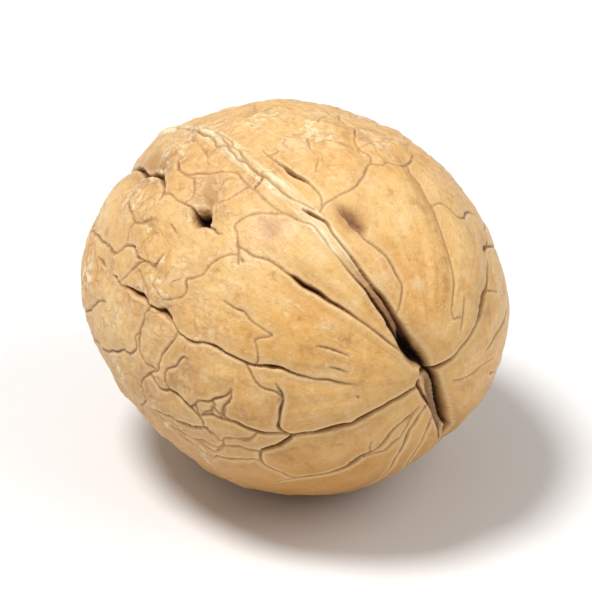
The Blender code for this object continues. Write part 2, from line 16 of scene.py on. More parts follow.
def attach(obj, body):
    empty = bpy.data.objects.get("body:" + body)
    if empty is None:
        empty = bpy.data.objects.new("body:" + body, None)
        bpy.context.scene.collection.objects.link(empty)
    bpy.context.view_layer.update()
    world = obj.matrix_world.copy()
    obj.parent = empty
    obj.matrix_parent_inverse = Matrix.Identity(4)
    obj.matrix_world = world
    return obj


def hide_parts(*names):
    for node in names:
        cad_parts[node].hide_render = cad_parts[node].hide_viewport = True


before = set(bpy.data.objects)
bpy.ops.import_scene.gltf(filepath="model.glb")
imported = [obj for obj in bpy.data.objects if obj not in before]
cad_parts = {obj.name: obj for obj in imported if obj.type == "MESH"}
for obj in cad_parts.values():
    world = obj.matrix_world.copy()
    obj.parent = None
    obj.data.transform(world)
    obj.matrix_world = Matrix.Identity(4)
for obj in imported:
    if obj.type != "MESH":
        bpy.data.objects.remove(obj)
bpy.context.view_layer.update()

bl_info = {
    "name": "Walnut shell",
    "version": (1, 0, 0),
    "blender": (4, 5, 0),
    "location": "View3D > Sidebar > Walnut",
    "description": "Models a walnut in its shell, with its finish and a plain stage",
    "category": "Add Mesh",
}

MM = 0.001
TENTH = 0.1 * MM
NODE = "walnut"
BODY = "root"

# Driving dimensions of the nut
LENGTH = 0.0420
SEAM_WIDTH = 0.0375
CHEEK_THICKNESS = 0.0373

# How the nut lies: its stem end looks up a little, and it is rolled on to its side.
# The middle of its length lies at CENTRE, and what would reach below the surface is flat.
STEM_RISE_DEG = 5.7
ROLL_DEG = 18.7
CENTRE = (0.0007, 0.0, 0.0182)

# Soft shoulders and pillows beside the creases: their radii, how far away they are worked
# out, the shoulders' share of a crease's depth, and how deep a crease has the full pillow
SHOULDER_RADIUS = 0.0016
SHOULDER_REACH = 0.0036
SHOULDER_SHARE = 0.30
PILLOW_RADIUS = 0.0007
PILLOW_DEPTH = 0.00030

# The seam's ridge, troughs and strips: their half widths, and how far away they are worked out
RIDGE_HALF_WIDTH = 0.00085
TROUGH_HALF_WIDTH = 0.00085
STRIP_HALF_WIDTH = 0.00040
RIDGE_REACH = 0.0026

# Lines: the steps between two of their points, and the steps of the runs that they are cut into
LINE_STEPS = 6
RUN_STEPS = 6

# Raised lips beside the creases: how deep a crease has the full lip, how many crease
# widths away the lip runs, and the lip's own half width
LIP_MOST = 0.0005
LIP_PLACE = 1.9
LIP_WIDTH = 0.00022

# Creases run unevenly: the size of their bends, the seeds of the bends' three directions,
# and how much of the bends is left near the stem end
WANDER_SIZE = 0.0013
WANDER_SEEDS = (23.0, 31.0, 47.0)
CALM_WANDER = 0.3

# A crease's mark for the finish: how many crease widths it reaches, how deep a crease has
# all of it, and what the faintest crease has
LINE_REACH = 2.0
LINE_FULL_DEPTH = 0.0009
LINE_LEAST = 0.30

# Pits are wider: the depth from which a crease widens more, and how much
PIT_DEPTH = 0.0010
PIT_WIDENING = 0.30

# The seam's pale colour: the ridge heights where it starts and is full
SEAM_PALE_FROM = 0.00005
SEAM_PALE_FULL = 0.00028

# The crease's narrow core: the share of the full depth that shallow creases keep, and the
# depths between which that share grows to all of it
CORE_LEAST = 0.45
CORE_FROM = 0.0003
CORE_FULL = 0.0010

# Ends of creases: how near another crease an end has to be to join it, and the length over
# which it bends there; at a free end, the share of the depth left and the length of the
# run-out; and the depth below which a crease's mark fades
JOIN_REACH = 0.0010
JOIN_FADE = 0.0025
END_LEAST = 0.30
END_REACH = 0.0009
FAINT_DEPTH = 0.00012

# Lengthwise pleats: how many go round, their length, where they are full, begin to fade and
# end, and the seed of their noise; the least width that they are worked out on
PLEAT_COUNT = 62
PLEAT_LENGTH_DEG = 30
PLEAT_START_DEG = 12
PLEAT_FADE_DEG = 40
PLEAT_END_DEG = 75
PLEAT_SEED = 17.0
LEAST_WIDTH = 1e-9

# The net of creases on the far side and the tip: rows of knots, joined to the next row. A
# knot is moved by up to a share of the step, a crease bends at two places by up to some
# degrees, and its depth in tenths of a millimetre changes there. NET_AWAY_FROM points to the
# middle of the side whose creases are drawn one by one, and the net ends at its edge.
NET_FIRST_ROW_DEG = 50
NET_LAST_ROW_DEG = 164
NET_ROW_STEP_DEG = 12
NET_KNOTS_ROUND = 21
NET_KNOT_SHIFT = 0.34
NET_BEND_DEG = 3.6
NET_BEND_SHARES = (0.33, 0.67)
NET_DEPTHS = (2.0, 4.2)
NET_DEPTH_CHANGES = (0.6, 1.2)
NET_LEAST_KNOTS = 5
NET_AWAY_FROM = (0.751, -0.302, 0.587)
NET_EDGE = 0.08
NET_SEED = 41

# Low unevenness of the whole shell
LUMP_SIZE = 0.0085
LUMP_HEIGHT = 0.00022

# Wrinkles between the creases: where they start and are full, their sizes and their noises'
# seeds, the shares of each kind on the crinkled part and on the smooth panels near the stem
# end, and how much of them those panels keep
CRINKLE_START_DEG = 45
CRINKLE_FULL_DEG = 85
COARSE_SIZE = 0.0022
MIDDLE_SIZE = 0.0011
FINE_SIZE = 0.00055
COARSE_SEED = 3.0
MIDDLE_SEED = 7.0
FINE_SEED = 11.0
ROUGH_COARSE = 0.9
ROUGH_FOLDS = 0.4
ROUGH_FINE = 0.3
SMOOTH_COARSE = 0.8
SMOOTH_MIDDLE = 0.2
CALM_SHARE = 0.35

# Mesh: the ball's rounds of splitting, how far beside a crease the triangles are finer, how
# far and from what depth they are finer still, how near its line a corner has to be to slide
# on to it, how far apart such corners stay, how deep a crease has to be for it, and the most
# triangles
BALL_ROUNDS = 7
FINE_REACH = 0.00027
FINER_REACH = 0.00018
FINER_DEPTH = 0.0006
SLIDE_REACH = 0.00015
SLIDE_SPACING = 0.00014
SLIDE_DEPTH = 0.00010
MOST_TRIANGLES = 200_000

# Marks for the finish: where the painted black shade in pits starts and is full, how deep the
# others are where they have their full colour (for shoulders, troughs and dents, their full
# painted shade), and how far the stem end's painted shade reaches
MARKS = ("crease", "deep", "shoulder", "strip", "dent", "trough", "lip", "seam", "stem", "crinkled")
DEEP_FROM = 0.0006
DEEP_FULL = 0.0011
SHOULDER_FULL_PAINTED_SHADE = 0.0003
STRIP_FULL_DARK = 0.00055
DENT_FULL_PAINTED_SHADE = 0.00026
TROUGH_FULL_PAINTED_SHADE = 0.0005
STEM_SHADE_DEG = 30

# Noises of the finish: lumps a metre, detail and roughness
EVEN_NOISES = {
    "cloud": (110.0, 3.0, 0.55),
    "patch": (380.0, 5.0, 0.62),
    "grain": (1500.0, 3.0, 0.7),
    "dust": (4200.0, 2.0, 0.5),
    # bloom places the whitish painted highlight patches, and sparkle the painted glint specks
    "bloom": (230.0, 2.0, 0.5),
    "sparkle": (2300.0, 1.0, 0.5),
    "flush": (190.0, 2.0, 0.5),
}
STREAK_NOISE = (20.0, 3.0, 0.6)
FIBRE_NOISE = (70.0, 3.0, 0.6)
FOLD_NOISE = (700.0, 2.0, 0.5)

# How streaks and fibres are drawn out along the nut, the noise that bends veins and folds,
# their scale and widths, and the share of them that the smooth panels keep
LENGTH_SQUEEZE = 9.0
BEND_SCALE = 500.0
BEND_DETAIL = 3.0
BEND_REACH = 0.0016
VEIN_SCALE = 330.0
VEIN_WIDTH = 0.07
FOLD_WIDTH = 0.10
PANEL_VEINS = 0.15

# Bands of the finish: the values where a pattern starts and is full
WARM_BAND = (0.38, 0.62)
BLUSH_BAND = (0.46, 0.60)
VEIN_BAND = (0.46, 0.60)
FOLD_BAND = (0.44, 0.58)
PAINTED_HIGHLIGHT_BAND = (0.52, 0.68)
PAINTED_HIGHLIGHT_GRAIN_BAND = (0.46, 0.60)
GLINT_BAND = (0.62, 0.72)
STRAND_BAND = (0.34, 0.60)
SEAM_BAND = (0.10, 0.80)
EDGE_BAND = (0.06, 0.36)
CORE_BAND = (0.26, 0.80)

# Fine layers of the finish, in the order in which they are laid on: the pattern, where the
# layer starts and is full, its share and its colour
FINE_LAYERS = (
    ("patch", 0.46, 0.68, 0.60, "pale"),
    ("patch", 0.46, 0.32, 0.50, "fleck_and_painted_shade"),
    ("streak", 0.52, 0.72, 0.27, "fleck_and_painted_shade"),
    ("fibre", 0.58, 0.74, 0.28, "fleck_and_painted_shade"),
    ("grain", 0.56, 0.70, 0.30, "pale"),
    ("grain", 0.46, 0.34, 0.26, "fleck_and_painted_shade"),
    ("dust", 0.66, 0.76, 0.40, "fleck_and_painted_shade"),
)

# Shares of the other layers; a mottle or a fade is what a pattern takes away again. The glints, the tip
# and the highlight patches are painted highlights, the lips partly; the slopes, dents, stem end and
# lower half are painted shade
PANEL_BLUSH = 0.15
TIP_BLUSH = 0.55
PAINTED_GLINT_SHARE = 0.30
PAINTED_SLOPE_SHADE_SHARE = 0.40
PAINTED_DENT_SHADE_SHARE = 0.95
DENT_MOTTLE = 0.7
PAINTED_STEM_SHADE_SHARE = 0.35
PAINTED_UNDERSIDE_SHADE_SHARE = 0.80
LIP_PALE_AND_HIGHLIGHT_SHARE = 0.60
TIP_PAINTED_HIGHLIGHT = 0.06
PAINTED_HIGHLIGHT_SHARE = 0.68
SEAM_SHARE = 0.86
SEAM_MOTTLE = 0.70
VEIN_SHARE = 0.45
FOLD_SHARE = 0.34
LINE_MOTTLE = 0.20
EDGE_SHARE = 0.55
SEAM_LINE_FADE = 0.20
STRIP_SHARE = 1.30
STRIP_MOTTLE = 0.9

# The lower half's painted shade, a deeper tan towards the bottom: the height up to which it is full, and
# where it ends
UNDERSIDE_SHADE_FULL = 0.0050
UNDERSIDE_SHADE_END = 0.0220

# The wax sheen, and the roughness of the shell and what each pattern adds to it
SHEEN = {"Specular IOR Level": 0.25, "Coat Weight": 0.07, "Coat Roughness": 0.22}
BASE_ROUGHNESS = 0.30
ROUGHNESS_SHARES = {"patch": 0.28, "crease": 0.25, "lip": -0.10, "glint": -0.08}

# The finest relief: what each pattern adds to it, and how high 1 stands, in metres
HIGHLIGHT_PATCH_RELIEF = 0.5
RELIEF_SHARES = {
    "patch": 0.8, "streak": 0.35, "fibre": 0.20, "grain": 0.75, "dust": 0.12, "glint": 0.15,
    "vein": -0.5, "fold": -0.5,
}
RELIEF_HEIGHT = 0.00013

# The stage: directions are right, up and toward the camera
FLOOR_HALF_WIDTH = 4.0
FLOOR_ROUGHNESS = 0.6
FLOOR_SPECULAR = 0.2
SKY_COLOUR = (1.0, 0.99, 0.98, 1.0)
NEAREST_SEEN = 0.01
SENSOR_WIDTH = 36.0
KEY_FROM = (-0.35, 0.85, 0.65)
KEY_SIZE = 0.24
FILL_FROM = (0.70, 0.50, 0.60)
FILL_SIZE = 0.60
LIGHT_DISTANCE = 0.80

# Broad swells and hollows: from the stem end, round the axis, radius in mm, height in mm
SWELLS = [
    (130, -62, 6.0, 1.05),
    (100, -107, 6.0, -0.50),
    (49, 180, 4.0, -0.45),
    (52, 125, 7.0, 0.75),
    (103, 50, 9.0, -0.60),
    (132, -5, 3.5, 0.20),
    (86, -17, 2.0, -0.35),
    (38, -113, 2.6, -0.22),
    (29, -62, 1.8, -0.15),
    (80, -42, 1.7, 0.22),
    (62, -74, 2.2, 0.15),
    (96, -28, 1.8, 0.30),
    (180, 0, 2.0, 0.55),
]

# Dents, hollows painted brown as shade, in the same way
DENTS = [
    (49, 12, 1.0, -0.25),
    (69, -70, 1.3, -0.25),
    (61, -13, 1.1, -0.30),
    (84, -16, 1.0, -0.32),
    (82, -20, 0.7, -0.22),
    (106, -17, 1.0, -0.25),
    (112, -17, 1.2, -0.35),
    (118, -18, 1.2, -0.30),
]

# Raised seam: from the stem end, round the axis, height in tenths of a millimetre
RIDGES = {
    "upper seam": [
        (38, -1, 1), (44, -1, 3), (52, -1, 4), (60, -1, 5), (70, -1, 5), (80, -1, 5), (90, -1, 5),
        (100, 0, 4), (110, 0, 3), (120, 0, 3), (132, 0, 4), (145, 0, 6), (160, 0, 7), (172, 0, 8),
        (180, 0, 8),
    ],
    "lower seam": [
        (56, 180, 2), (70, 180, 4), (90, 180, 4), (110, 180, 5), (130, 180, 6), (150, 180, 7),
        (172, 180, 8), (180, 180, 8),
    ],
}

# Wide shallow troughs, in the same way
TROUGHS = {
    "below the stem end": [
        (3, 165, 3), (7, 172, 6), (12, 172, 7), (20, 172, 7), (28, 172, 6), (36, 171, 5), (46, 173, 2),
    ],
    "right groove": [(36, 54, 1), (42, 52, 2), (48, 50, 4), (54, 48, 5), (60, 46, 4), (65, 45, 1)],
}

# Narrow sunk strips of bark along the creases, in the same way
STRIPS = {
    "between the seam's cracks": [
        (5, 6, 7), (9, -1, 8), (14, -1, 7), (20, 0, 6), (26, -1, 5), (32, -1, 4), (37, -2, 2), (42, -2, 1),
    ],
    "below the stem end": [
        (3, 140, 5), (7, 166, 7), (13, 173, 7), (20, 174, 7), (28, 174, 6), (36, 174, 3),
    ],
    "right of the seam": [(55, 9, 2), (52, 10, 5), (50, 11, 7), (48, 11, 8), (46, 12, 6), (44, 12, 2)],
}

# Creases: from the stem end, round the axis, depth in tenths of a millimetre
CREASES = {
    "stem cleft, upper": [
        (1, 90, 10), (3, 40, 14), (5, 14, 19), (8, 5, 20), (11, 2, 19), (14, 0, 14), (17, 0, 8),
        (20, 0, 4),
    ],
    "stem cleft, lower": [
        (1, -120, 8), (4, -156, 7), (7, -168, 7), (10, -176, 8), (14, -180, 8), (18, -181, 8),
        (26, -184, 8), (34, -186, 7), (42, -185, 6), (52, -182, 5), (64, -180, 3),
    ],
    "seam, left crack": [
        (4, -19, 8), (7, -11, 10), (10, -8, 11), (13, -6, 10), (16, -5, 10), (19, -4, 11),
        (22, -3, 10), (27, -3, 9), (31, -3, 7), (36, -4, 5), (40, -4, 3), (45, -4, 1), (50, -3, 2),
        (54, -3, 2), (58, -5, 1),
    ],
    "seam, right crack": [
        (5, 30, 12), (8, 15, 13), (11, 9, 12), (14, 5, 11), (17, 4, 10), (20, 3, 9), (24, 3, 9),
        (28, 2, 8), (31, 1, 6), (36, 1, 6), (42, 1, 5), (48, 1, 5), (53, 2, 6), (57, 2, 7),
        (59, 2, 3),
    ],
    "seam, left line": [
        (57, -1, 1), (61, -2, 2), (66, -2, 3), (72, -2, 3), (78, -2, 3), (84, -2, 3), (89, -1, 3),
        (94, 0, 2), (99, 1, 1),
    ],
    "seam, right line": [(80, 0, 1), (84, 0, 3), (88, 0, 3), (92, 1, 2), (96, 2, 3), (99, 2, 2)],
    "seam, tip line": [
        (88, -5, 2), (91, -3, 2), (95, -2, 3), (99, -1, 3), (104, -1, 4), (108, -1, 2),
        (114, -1, 2), (122, 0, 2),
    ],
    "seam, outer fold": [
        (62, -6, 1), (66, -7, 2), (71, -7, 2), (76, -7, 2), (80, -6, 3), (83, -7, 2), (86, -9, 2),
        (90, -11, 3), (94, -14, 3), (98, -15, 2),
    ],
    "seam, stitch": [(74, -6, 4), (74, -3, 4)],
    "seam, short line": [(92, -7, 2), (96, -6, 2), (99, -5, 1)],
    "loop right of the seam": [
        (20, 12, 1), (22, 15, 2), (25, 17, 3), (28, 18, 3), (32, 17, 4), (36, 16, 3), (40, 13, 3),
        (43, 11, 3), (46, 11, 3), (49, 10, 4), (52, 9, 3), (54, 9, 2),
    ],
    "right cross crease": [
        (56, 3, 2), (57, 7, 2), (57, 12, 2), (57, 16, 2), (58, 20, 3), (60, 24, 3), (62, 27, 3),
        (64, 30, 2), (63, 34, 2), (64, 37, 2), (63, 41, 2), (64, 45, 3), (67, 49, 3), (70, 52, 2),
    ],
    "right slope crease": [
        (64, 30, 2), (67, 32, 2), (71, 31, 2), (75, 32, 2), (77, 34, 3), (80, 36, 5), (84, 36, 4),
        (88, 37, 3), (91, 39, 2),
    ],
    "slit right of the seam": [
        (56, 3, 2), (57, 5, 2), (60, 7, 2), (64, 7, 4), (67, 6, 7), (70, 5, 8), (73, 5, 6),
        (76, 5, 3), (80, 5, 2), (83, 5, 1),
    ],
    "right bracket": [(80, 7, 3), (79, 9, 2), (80, 10, 1)],
    "right wrinkle": [(66, 11, 1), (68, 13, 2), (70, 15, 1), (74, 16, 1), (77, 17, 2), (80, 19, 1)],
    "right dash, first": [(83, 16, 2), (83, 18, 3), (83, 20, 1)],
    "right dash, second": [(84, 26, 1), (87, 29, 2), (89, 33, 2)],
    "right dash, third": [(90, 21, 2), (92, 24, 1)],
    "right groove": [
        (20, 61, 1), (24, 60, 2), (30, 57, 2), (35, 54, 2), (40, 52, 2), (45, 51, 3), (50, 50, 3),
        (56, 48, 2), (61, 46, 2), (64, 46, 2),
    ],
    "right link": [
        (51, 50, 2), (52, 54, 2), (51, 59, 2), (50, 62, 3), (51, 66, 3), (53, 68, 4), (56, 71, 4),
        (58, 75, 3), (59, 78, 2),
    ],
    "right cheek groove": [
        (2, 98, 12), (4, 107, 11), (7, 104, 8), (11, 102, 6), (15, 97, 5), (21, 94, 4),
        (25, 92, 5), (28, 91, 9), (31, 89, 11), (34, 88, 11), (38, 87, 7), (42, 85, 8),
        (45, 84, 5), (48, 82, 10), (51, 84, 5), (55, 89, 4), (59, 93, 3), (64, 98, 3),
    ],
    "right cheek branch": [(49, 81, 3), (53, 83, 4), (58, 84, 4), (63, 87, 3), (68, 91, 3)],
    "right cheek twig": [(36, 90, 3), (39, 94, 2), (42, 97, 1)],
    "right faint band": [(19, 61, 1), (18, 68, 2), (20, 73, 2), (22, 79, 1)],
    "left seam groove": [
        (8, -14, 2), (12, -16, 3), (17, -17, 4), (22, -18, 3), (27, -19, 4), (32, -20, 6),
        (36, -21, 7), (40, -21, 9), (44, -22, 10), (47, -22, 8), (50, -22, 4), (55, -22, 3),
        (60, -23, 3), (64, -22, 2),
    ],
    "left link": [
        (62, -27, 2), (64, -25, 3), (66, -23, 3), (68, -21, 2), (70, -19, 2), (69, -15, 2),
        (66, -11, 2), (62, -7, 2), (58, -5, 2),
    ],
    "round cell": [
        (61, -30, 4), (62, -29, 2), (64, -28, 2), (66, -29, 2), (68, -30, 2), (69, -33, 3),
        (70, -37, 2), (72, -39, 2), (74, -41, 4), (73, -44, 3), (74, -46, 2), (76, -48, 2),
        (79, -49, 2), (82, -48, 2), (85, -46, 2),
    ],
    "pit": [
        (71, -23, 2), (73, -24, 4), (75, -24, 5), (77, -24, 6), (79, -23, 15), (81, -23, 22),
        (83, -23, 13), (85, -22, 5), (88, -22, 3), (92, -22, 2), (96, -22, 2),
    ],
    "pit, right line": [(79, -18, 1), (77, -14, 2), (76, -10, 2), (75, -7, 2)],
    "tip arch, small cell": [(97, -16, 1), (93, -15, 2), (90, -16, 2), (88, -19, 2), (88, -22, 2)],
    "tip arch": [(96, -25, 4), (97, -23, 5), (99, -21, 6), (102, -21, 7), (106, -21, 8)],
    "tip cleft": [
        (98, -19, 4), (101, -18, 6), (105, -18, 8), (109, -19, 9), (113, -20, 9),
        (117, -20, 8), (121, -19, 8), (126, -20, 9), (131, -21, 11), (135, -22, 12),
        (139, -22, 11), (145, -20, 8), (154, -18, 4),
    ],
    "tip spot": [(99, -15, 2), (101, -13, 7), (103, -12, 2)],
    "left cheek groove": [
        (20, -64, 1), (24, -64, 3), (28, -62, 4), (32, -62, 3), (35, -61, 4), (38, -60, 5),
        (41, -59, 6), (44, -59, 8), (46, -59, 6), (49, -60, 5), (53, -59, 5), (57, -58, 5),
        (61, -57, 6), (64, -57, 4), (66, -58, 5), (69, -58, 5), (72, -57, 3), (75, -55, 5),
        (77, -54, 10), (79, -53, 11), (81, -53, 6), (84, -53, 6), (87, -52, 9), (90, -52, 9),
        (93, -52, 6), (97, -53, 3), (101, -52, 6), (103, -52, 3),
    ],
    "left faint groove": [(23, -44, 1), (27, -43, 3), (31, -43, 3), (35, -44, 1)],
    "left cell line": [
        (49, -58, 3), (48, -56, 3), (49, -52, 2), (50, -50, 2), (48, -48, 2), (46, -46, 3),
        (48, -45, 2), (52, -44, 2), (55, -42, 3), (58, -42, 3), (62, -41, 2),
    ],
    "left cross crease": [
        (41, -94, 5), (43, -91, 5), (44, -88, 6), (43, -84, 5), (42, -79, 6), (41, -75, 5),
        (41, -71, 5), (42, -68, 4), (43, -65, 2),
    ],
    "left cross branch": [
        (41, -73, 4), (43, -70, 3), (46, -69, 3), (48, -67, 3), (50, -64, 3), (52, -61, 3),
    ],
    "left dash, first": [(20, -78, 2), (20, -76, 5), (21, -74, 2)],
    "left dash, second": [(38, -72, 1), (40, -74, 2), (41, -76, 1)],
    "star, stem": [
        (42, -93, 3), (45, -91, 4), (49, -90, 6), (52, -88, 6), (55, -85, 6), (57, -84, 5),
        (60, -83, 4), (63, -82, 4), (66, -83, 3),
    ],
    "star, right arm": [
        (57, -84, 5), (59, -81, 4), (58, -78, 4), (56, -76, 4), (55, -73, 3), (55, -71, 2),
    ],
    "star, second arm": [
        (55, -70, 3), (57, -73, 4), (60, -75, 5), (62, -77, 4), (65, -77, 3), (67, -79, 4),
        (68, -80, 4),
    ],
    "star, link": [(62, -82, 3), (61, -79, 2), (60, -76, 2)],
    "star, lower": [
        (64, -90, 3), (66, -88, 4), (66, -85, 4), (68, -82, 5), (71, -80, 6), (75, -78, 6),
        (79, -78, 4), (82, -76, 4), (84, -75, 3),
    ],
    "star, left edge": [
        (66, -89, 4), (69, -90, 5), (73, -90, 6), (78, -90, 5), (82, -89, 4), (86, -89, 2),
    ],
    "star, left twig": [(52, -92, 3), (55, -94, 3), (58, -93, 2)],
    "star, left cell": [
        (67, -99, 3), (65, -97, 3), (63, -95, 3), (61, -92, 3), (57, -92, 3), (53, -92, 3),
        (50, -90, 4),
    ],
    "cell, upper edge": [
        (77, -77, 4), (77, -73, 3), (76, -70, 3), (73, -68, 3), (72, -66, 4), (70, -64, 4),
        (68, -64, 2),
    ],
    "cell, lower edge": [
        (83, -75, 3), (80, -73, 3), (79, -70, 3), (77, -66, 3), (75, -62, 3), (74, -59, 2),
    ],
    "cell, left tail": [
        (83, -75, 4), (86, -77, 3), (88, -80, 3), (89, -84, 3), (89, -87, 3), (92, -90, 3),
        (95, -93, 2),
    ],
    "flank, upper": [
        (79, -73, 2), (82, -73, 3), (85, -71, 3), (86, -68, 4), (86, -64, 4), (85, -61, 3),
    ],
    "flank, lower": [
        (93, -72, 3), (90, -71, 4), (88, -68, 4), (88, -65, 3), (86, -61, 4), (85, -57, 3),
        (83, -54, 3),
    ],
    "flank, tail": [
        (90, -71, 3), (94, -72, 3), (98, -74, 5), (102, -76, 4), (107, -78, 4), (113, -80, 3),
        (118, -80, 2),
    ],
    "flank, long crease": [
        (103, -61, 3), (107, -62, 3), (111, -65, 4), (115, -69, 4), (119, -72, 4), (124, -74, 3),
        (129, -74, 2),
    ],
    "cheek, arc": [
        (98, -50, 2), (95, -47, 3), (92, -44, 4), (89, -42, 3), (86, -42, 4), (85, -40, 4),
        (84, -37, 2),
    ],
    "cheek, fall": [
        (90, -42, 3), (94, -42, 5), (98, -41, 5), (101, -42, 4), (104, -45, 3), (107, -46, 3),
    ],
    "cheek, right line": [(95, -31, 3), (98, -33, 3), (101, -35, 3), (105, -35, 2)],
    "cheek, dent": [(83, -31, 1), (86, -30, 4), (88, -29, 1)],
    "tip dent, first": [(108, -51, 3), (110, -51, 6), (113, -50, 3)],
    "tip dent, second": [(109, -42, 2), (110, -42, 5), (111, -42, 2)],
    "low left, upright": [
        (73, -104, 2), (70, -104, 3), (68, -103, 4), (63, -103, 5), (59, -103, 4), (57, -103, 3),
        (56, -106, 4),
    ],
    "low left, cross": [
        (52, -99, 5), (54, -102, 5), (55, -106, 4), (54, -110, 4), (53, -114, 4), (52, -118, 4),
        (50, -121, 4),
    ],
    "low left groove": [
        (2, -130, 5), (4, -124, 6), (5, -116, 6), (8, -107, 7), (11, -101, 7), (14, -99, 7),
        (18, -98, 8), (21, -98, 9), (24, -98, 7), (27, -97, 9), (31, -96, 9), (35, -95, 6),
        (38, -94, 6), (41, -94, 6), (43, -96, 8), (46, -98, 9), (49, -99, 9), (52, -99, 7),
    ],
    "stem cleft, lower right": [
        (3, 115, 12), (6, 139, 12), (9, 154, 12), (13, 163, 12), (20, 168, 12), (27, 169, 11),
        (33, 168, 9), (41, 171, 7), (50, 175, 5),
    ],
    "low cell line": [
        (64, -97, 3), (62, -96, 3), (60, -96, 3), (58, -96, 3), (56, -97, 3), (54, -98, 4),
        (54, -100, 3),
    ],
    "flank wrinkle": [
        (82, -96, 2), (79, -96, 3), (76, -96, 3), (73, -96, 3), (69, -96, 3), (65, -97, 3),
    ],
    "flank wrinkle, lower": [(79, -99, 2), (77, -100, 3), (74, -101, 3), (71, -103, 2)],
    "small cells, first": [
        (61, -77, 3), (60, -78, 3), (61, -79, 3), (62, -81, 3), (64, -82, 3), (65, -84, 3),
    ],
    "small cells, second": [
        (61, -79, 3), (60, -81, 3), (59, -82, 3), (58, -80, 3), (57, -77, 3), (55, -74, 3),
    ],
    "small cells, third": [(66, -80, 3), (66, -82, 3), (66, -84, 3)],
    "left dash, third": [(29, -54, 2), (26, -54, 3), (23, -55, 2)],
    "limb fold": [(128, -47, 2), (121, -46, 3), (113, -46, 4), (107, -46, 3), (103, -48, 2)],
    "tip cell, first": [
        (112, -28, 2), (109, -31, 2), (104, -33, 2), (101, -34, 3), (102, -37, 2), (101, -41, 2),
    ],
    "tip cell, second": [(101, -34, 2), (97, -33, 2), (95, -31, 2)],
    "low flank cell": [
        (84, -93, 2), (78, -94, 3), (72, -97, 3), (68, -100, 3), (63, -96, 2), (65, -91, 2),
    ],
    "right far line": [
        (55, 90, 2), (58, 100, 2), (52, 107, 2), (45, 111, 3), (34, 113, 3), (26, 117, 2),
    ],
    "right upright": [(28, 66, 1), (22, 74, 2), (16, 82, 1)],
    "right flank wrinkle": [(12, 137, 2), (19, 132, 2), (27, 126, 2), (36, 124, 1)],
    "under pleat, left": [
        (15, -176, 2), (20, -170, 4), (25, -167, 4), (32, -165, 4), (37, -164, 3),
    ],
    "under pleat, short": [(10, -153, 2), (13, -145, 3), (17, -145, 3), (20, -144, 2)],
    "low cheek fold": [(20, -143, 2), (23, -140, 3), (26, -139, 3), (29, -134, 3), (33, -131, 3)],
    "low cheek groove": [
        (18, -138, 2), (24, -134, 4), (28, -131, 6), (31, -129, 9), (34, -129, 10), (37, -129, 8),
        (41, -127, 6), (45, -125, 6), (49, -122, 6), (53, -120, 4), (58, -119, 3),
    ],
    "low cheek dash": [(24, -121, 3), (26, -124, 3), (28, -128, 2)],
    "under groove, short": [
        (10, -155, 2), (12, -145, 3), (17, -134, 4), (22, -132, 4), (27, -131, 3),
    ],
    "under groove": [
        (11, -172, 3), (13, -158, 5), (16, -153, 5), (19, -151, 6), (24, -151, 5), (30, -152, 5),
        (39, -155, 4), (47, -157, 4), (54, -156, 3),
    ],
    "far groove, first": [
        (34, 132, 3), (38, 134, 5), (46, 131, 6), (54, 127, 8), (62, 130, 5), (70, 134, 6),
        (80, 131, 4), (90, 126, 5), (100, 129, 4),
    ],
    "far groove, second": [(36, 158, 3), (44, 156, 5), (56, 151, 6), (66, 154, 4), (78, 149, 5)],
    "far groove, third": [
        (16, -166, 3), (24, -168, 5), (36, -165, 6), (46, -169, 4), (58, -164, 5), (70, -167, 5),
        (84, -160, 4),
    ],
    "far groove, fourth": [
        (70, 104, 4), (78, 109, 5), (88, 106, 7), (98, 110, 5), (108, 104, 5), (118, 108, 4),
        (130, 102, 5), (142, 108, 4),
    ],
    "far groove, fifth": [
        (66, -140, 4), (76, -136, 6), (86, -141, 5), (96, -137, 6), (108, -142, 5), (120, -136, 5),
        (134, -141, 4),
    ],
    "far groove, sixth": [(100, 72, 4), (110, 76, 5), (122, 71, 6), (134, 76, 5), (146, 72, 4)],
    "far groove, seventh": [(112, -108, 4), (124, -104, 5), (136, -109, 5), (148, -104, 4)],
}


def half_lengths():
    """The nut's half length, half thickness through the cheeks and half width in the seam's plane."""
    return np.array([LENGTH, CHEEK_THICKNESS, SEAM_WIDTH]) / 2.0


def directions(from_stem_deg, round_deg):
    """Unit directions in the nut's own axes: stem end, right cheek, upper seam."""
    from_stem = np.radians(np.asarray(from_stem_deg, dtype=float))
    around = np.radians(np.asarray(round_deg, dtype=float))
    return np.stack(
        [np.cos(from_stem), np.sin(from_stem) * np.sin(around), np.sin(from_stem) * np.cos(around)],
        axis=-1,
    )


def net_row(draw, from_stem):
    """One row of knots round the nut, each moved a little off its even place."""
    count = max(NET_LEAST_KNOTS, round(NET_KNOTS_ROUND * math.sin(math.radians(from_stem))))
    turn = 360.0 / count
    first = draw.uniform(0.0, turn)
    knots = []
    for number in range(count):
        along = from_stem + draw.uniform(-NET_KNOT_SHIFT, NET_KNOT_SHIFT) * NET_ROW_STEP_DEG
        around = first + (number + draw.uniform(-NET_KNOT_SHIFT, NET_KNOT_SHIFT)) * turn
        knots.append((along, around))
    return knots


def turn_between(first, second):
    """The short way round from one knot to another, in degrees."""
    return (second[1] - first[1] + 180.0) % 360.0 - 180.0


def net_crease(draw, start, end):
    """A bent crease between two knots."""
    turn = turn_between(start, end)
    depth = draw.uniform(*NET_DEPTHS)
    points = [(start[0], start[1], depth)]
    for share in NET_BEND_SHARES:
        along = start[0] + share * (end[0] - start[0]) + draw.uniform(-NET_BEND_DEG, NET_BEND_DEG)
        around = start[1] + share * turn + draw.uniform(-NET_BEND_DEG, NET_BEND_DEG)
        points.append((along, around, depth * draw.uniform(*NET_DEPTH_CHANGES)))
    points.append((end[0], start[1] + turn, depth))
    return points


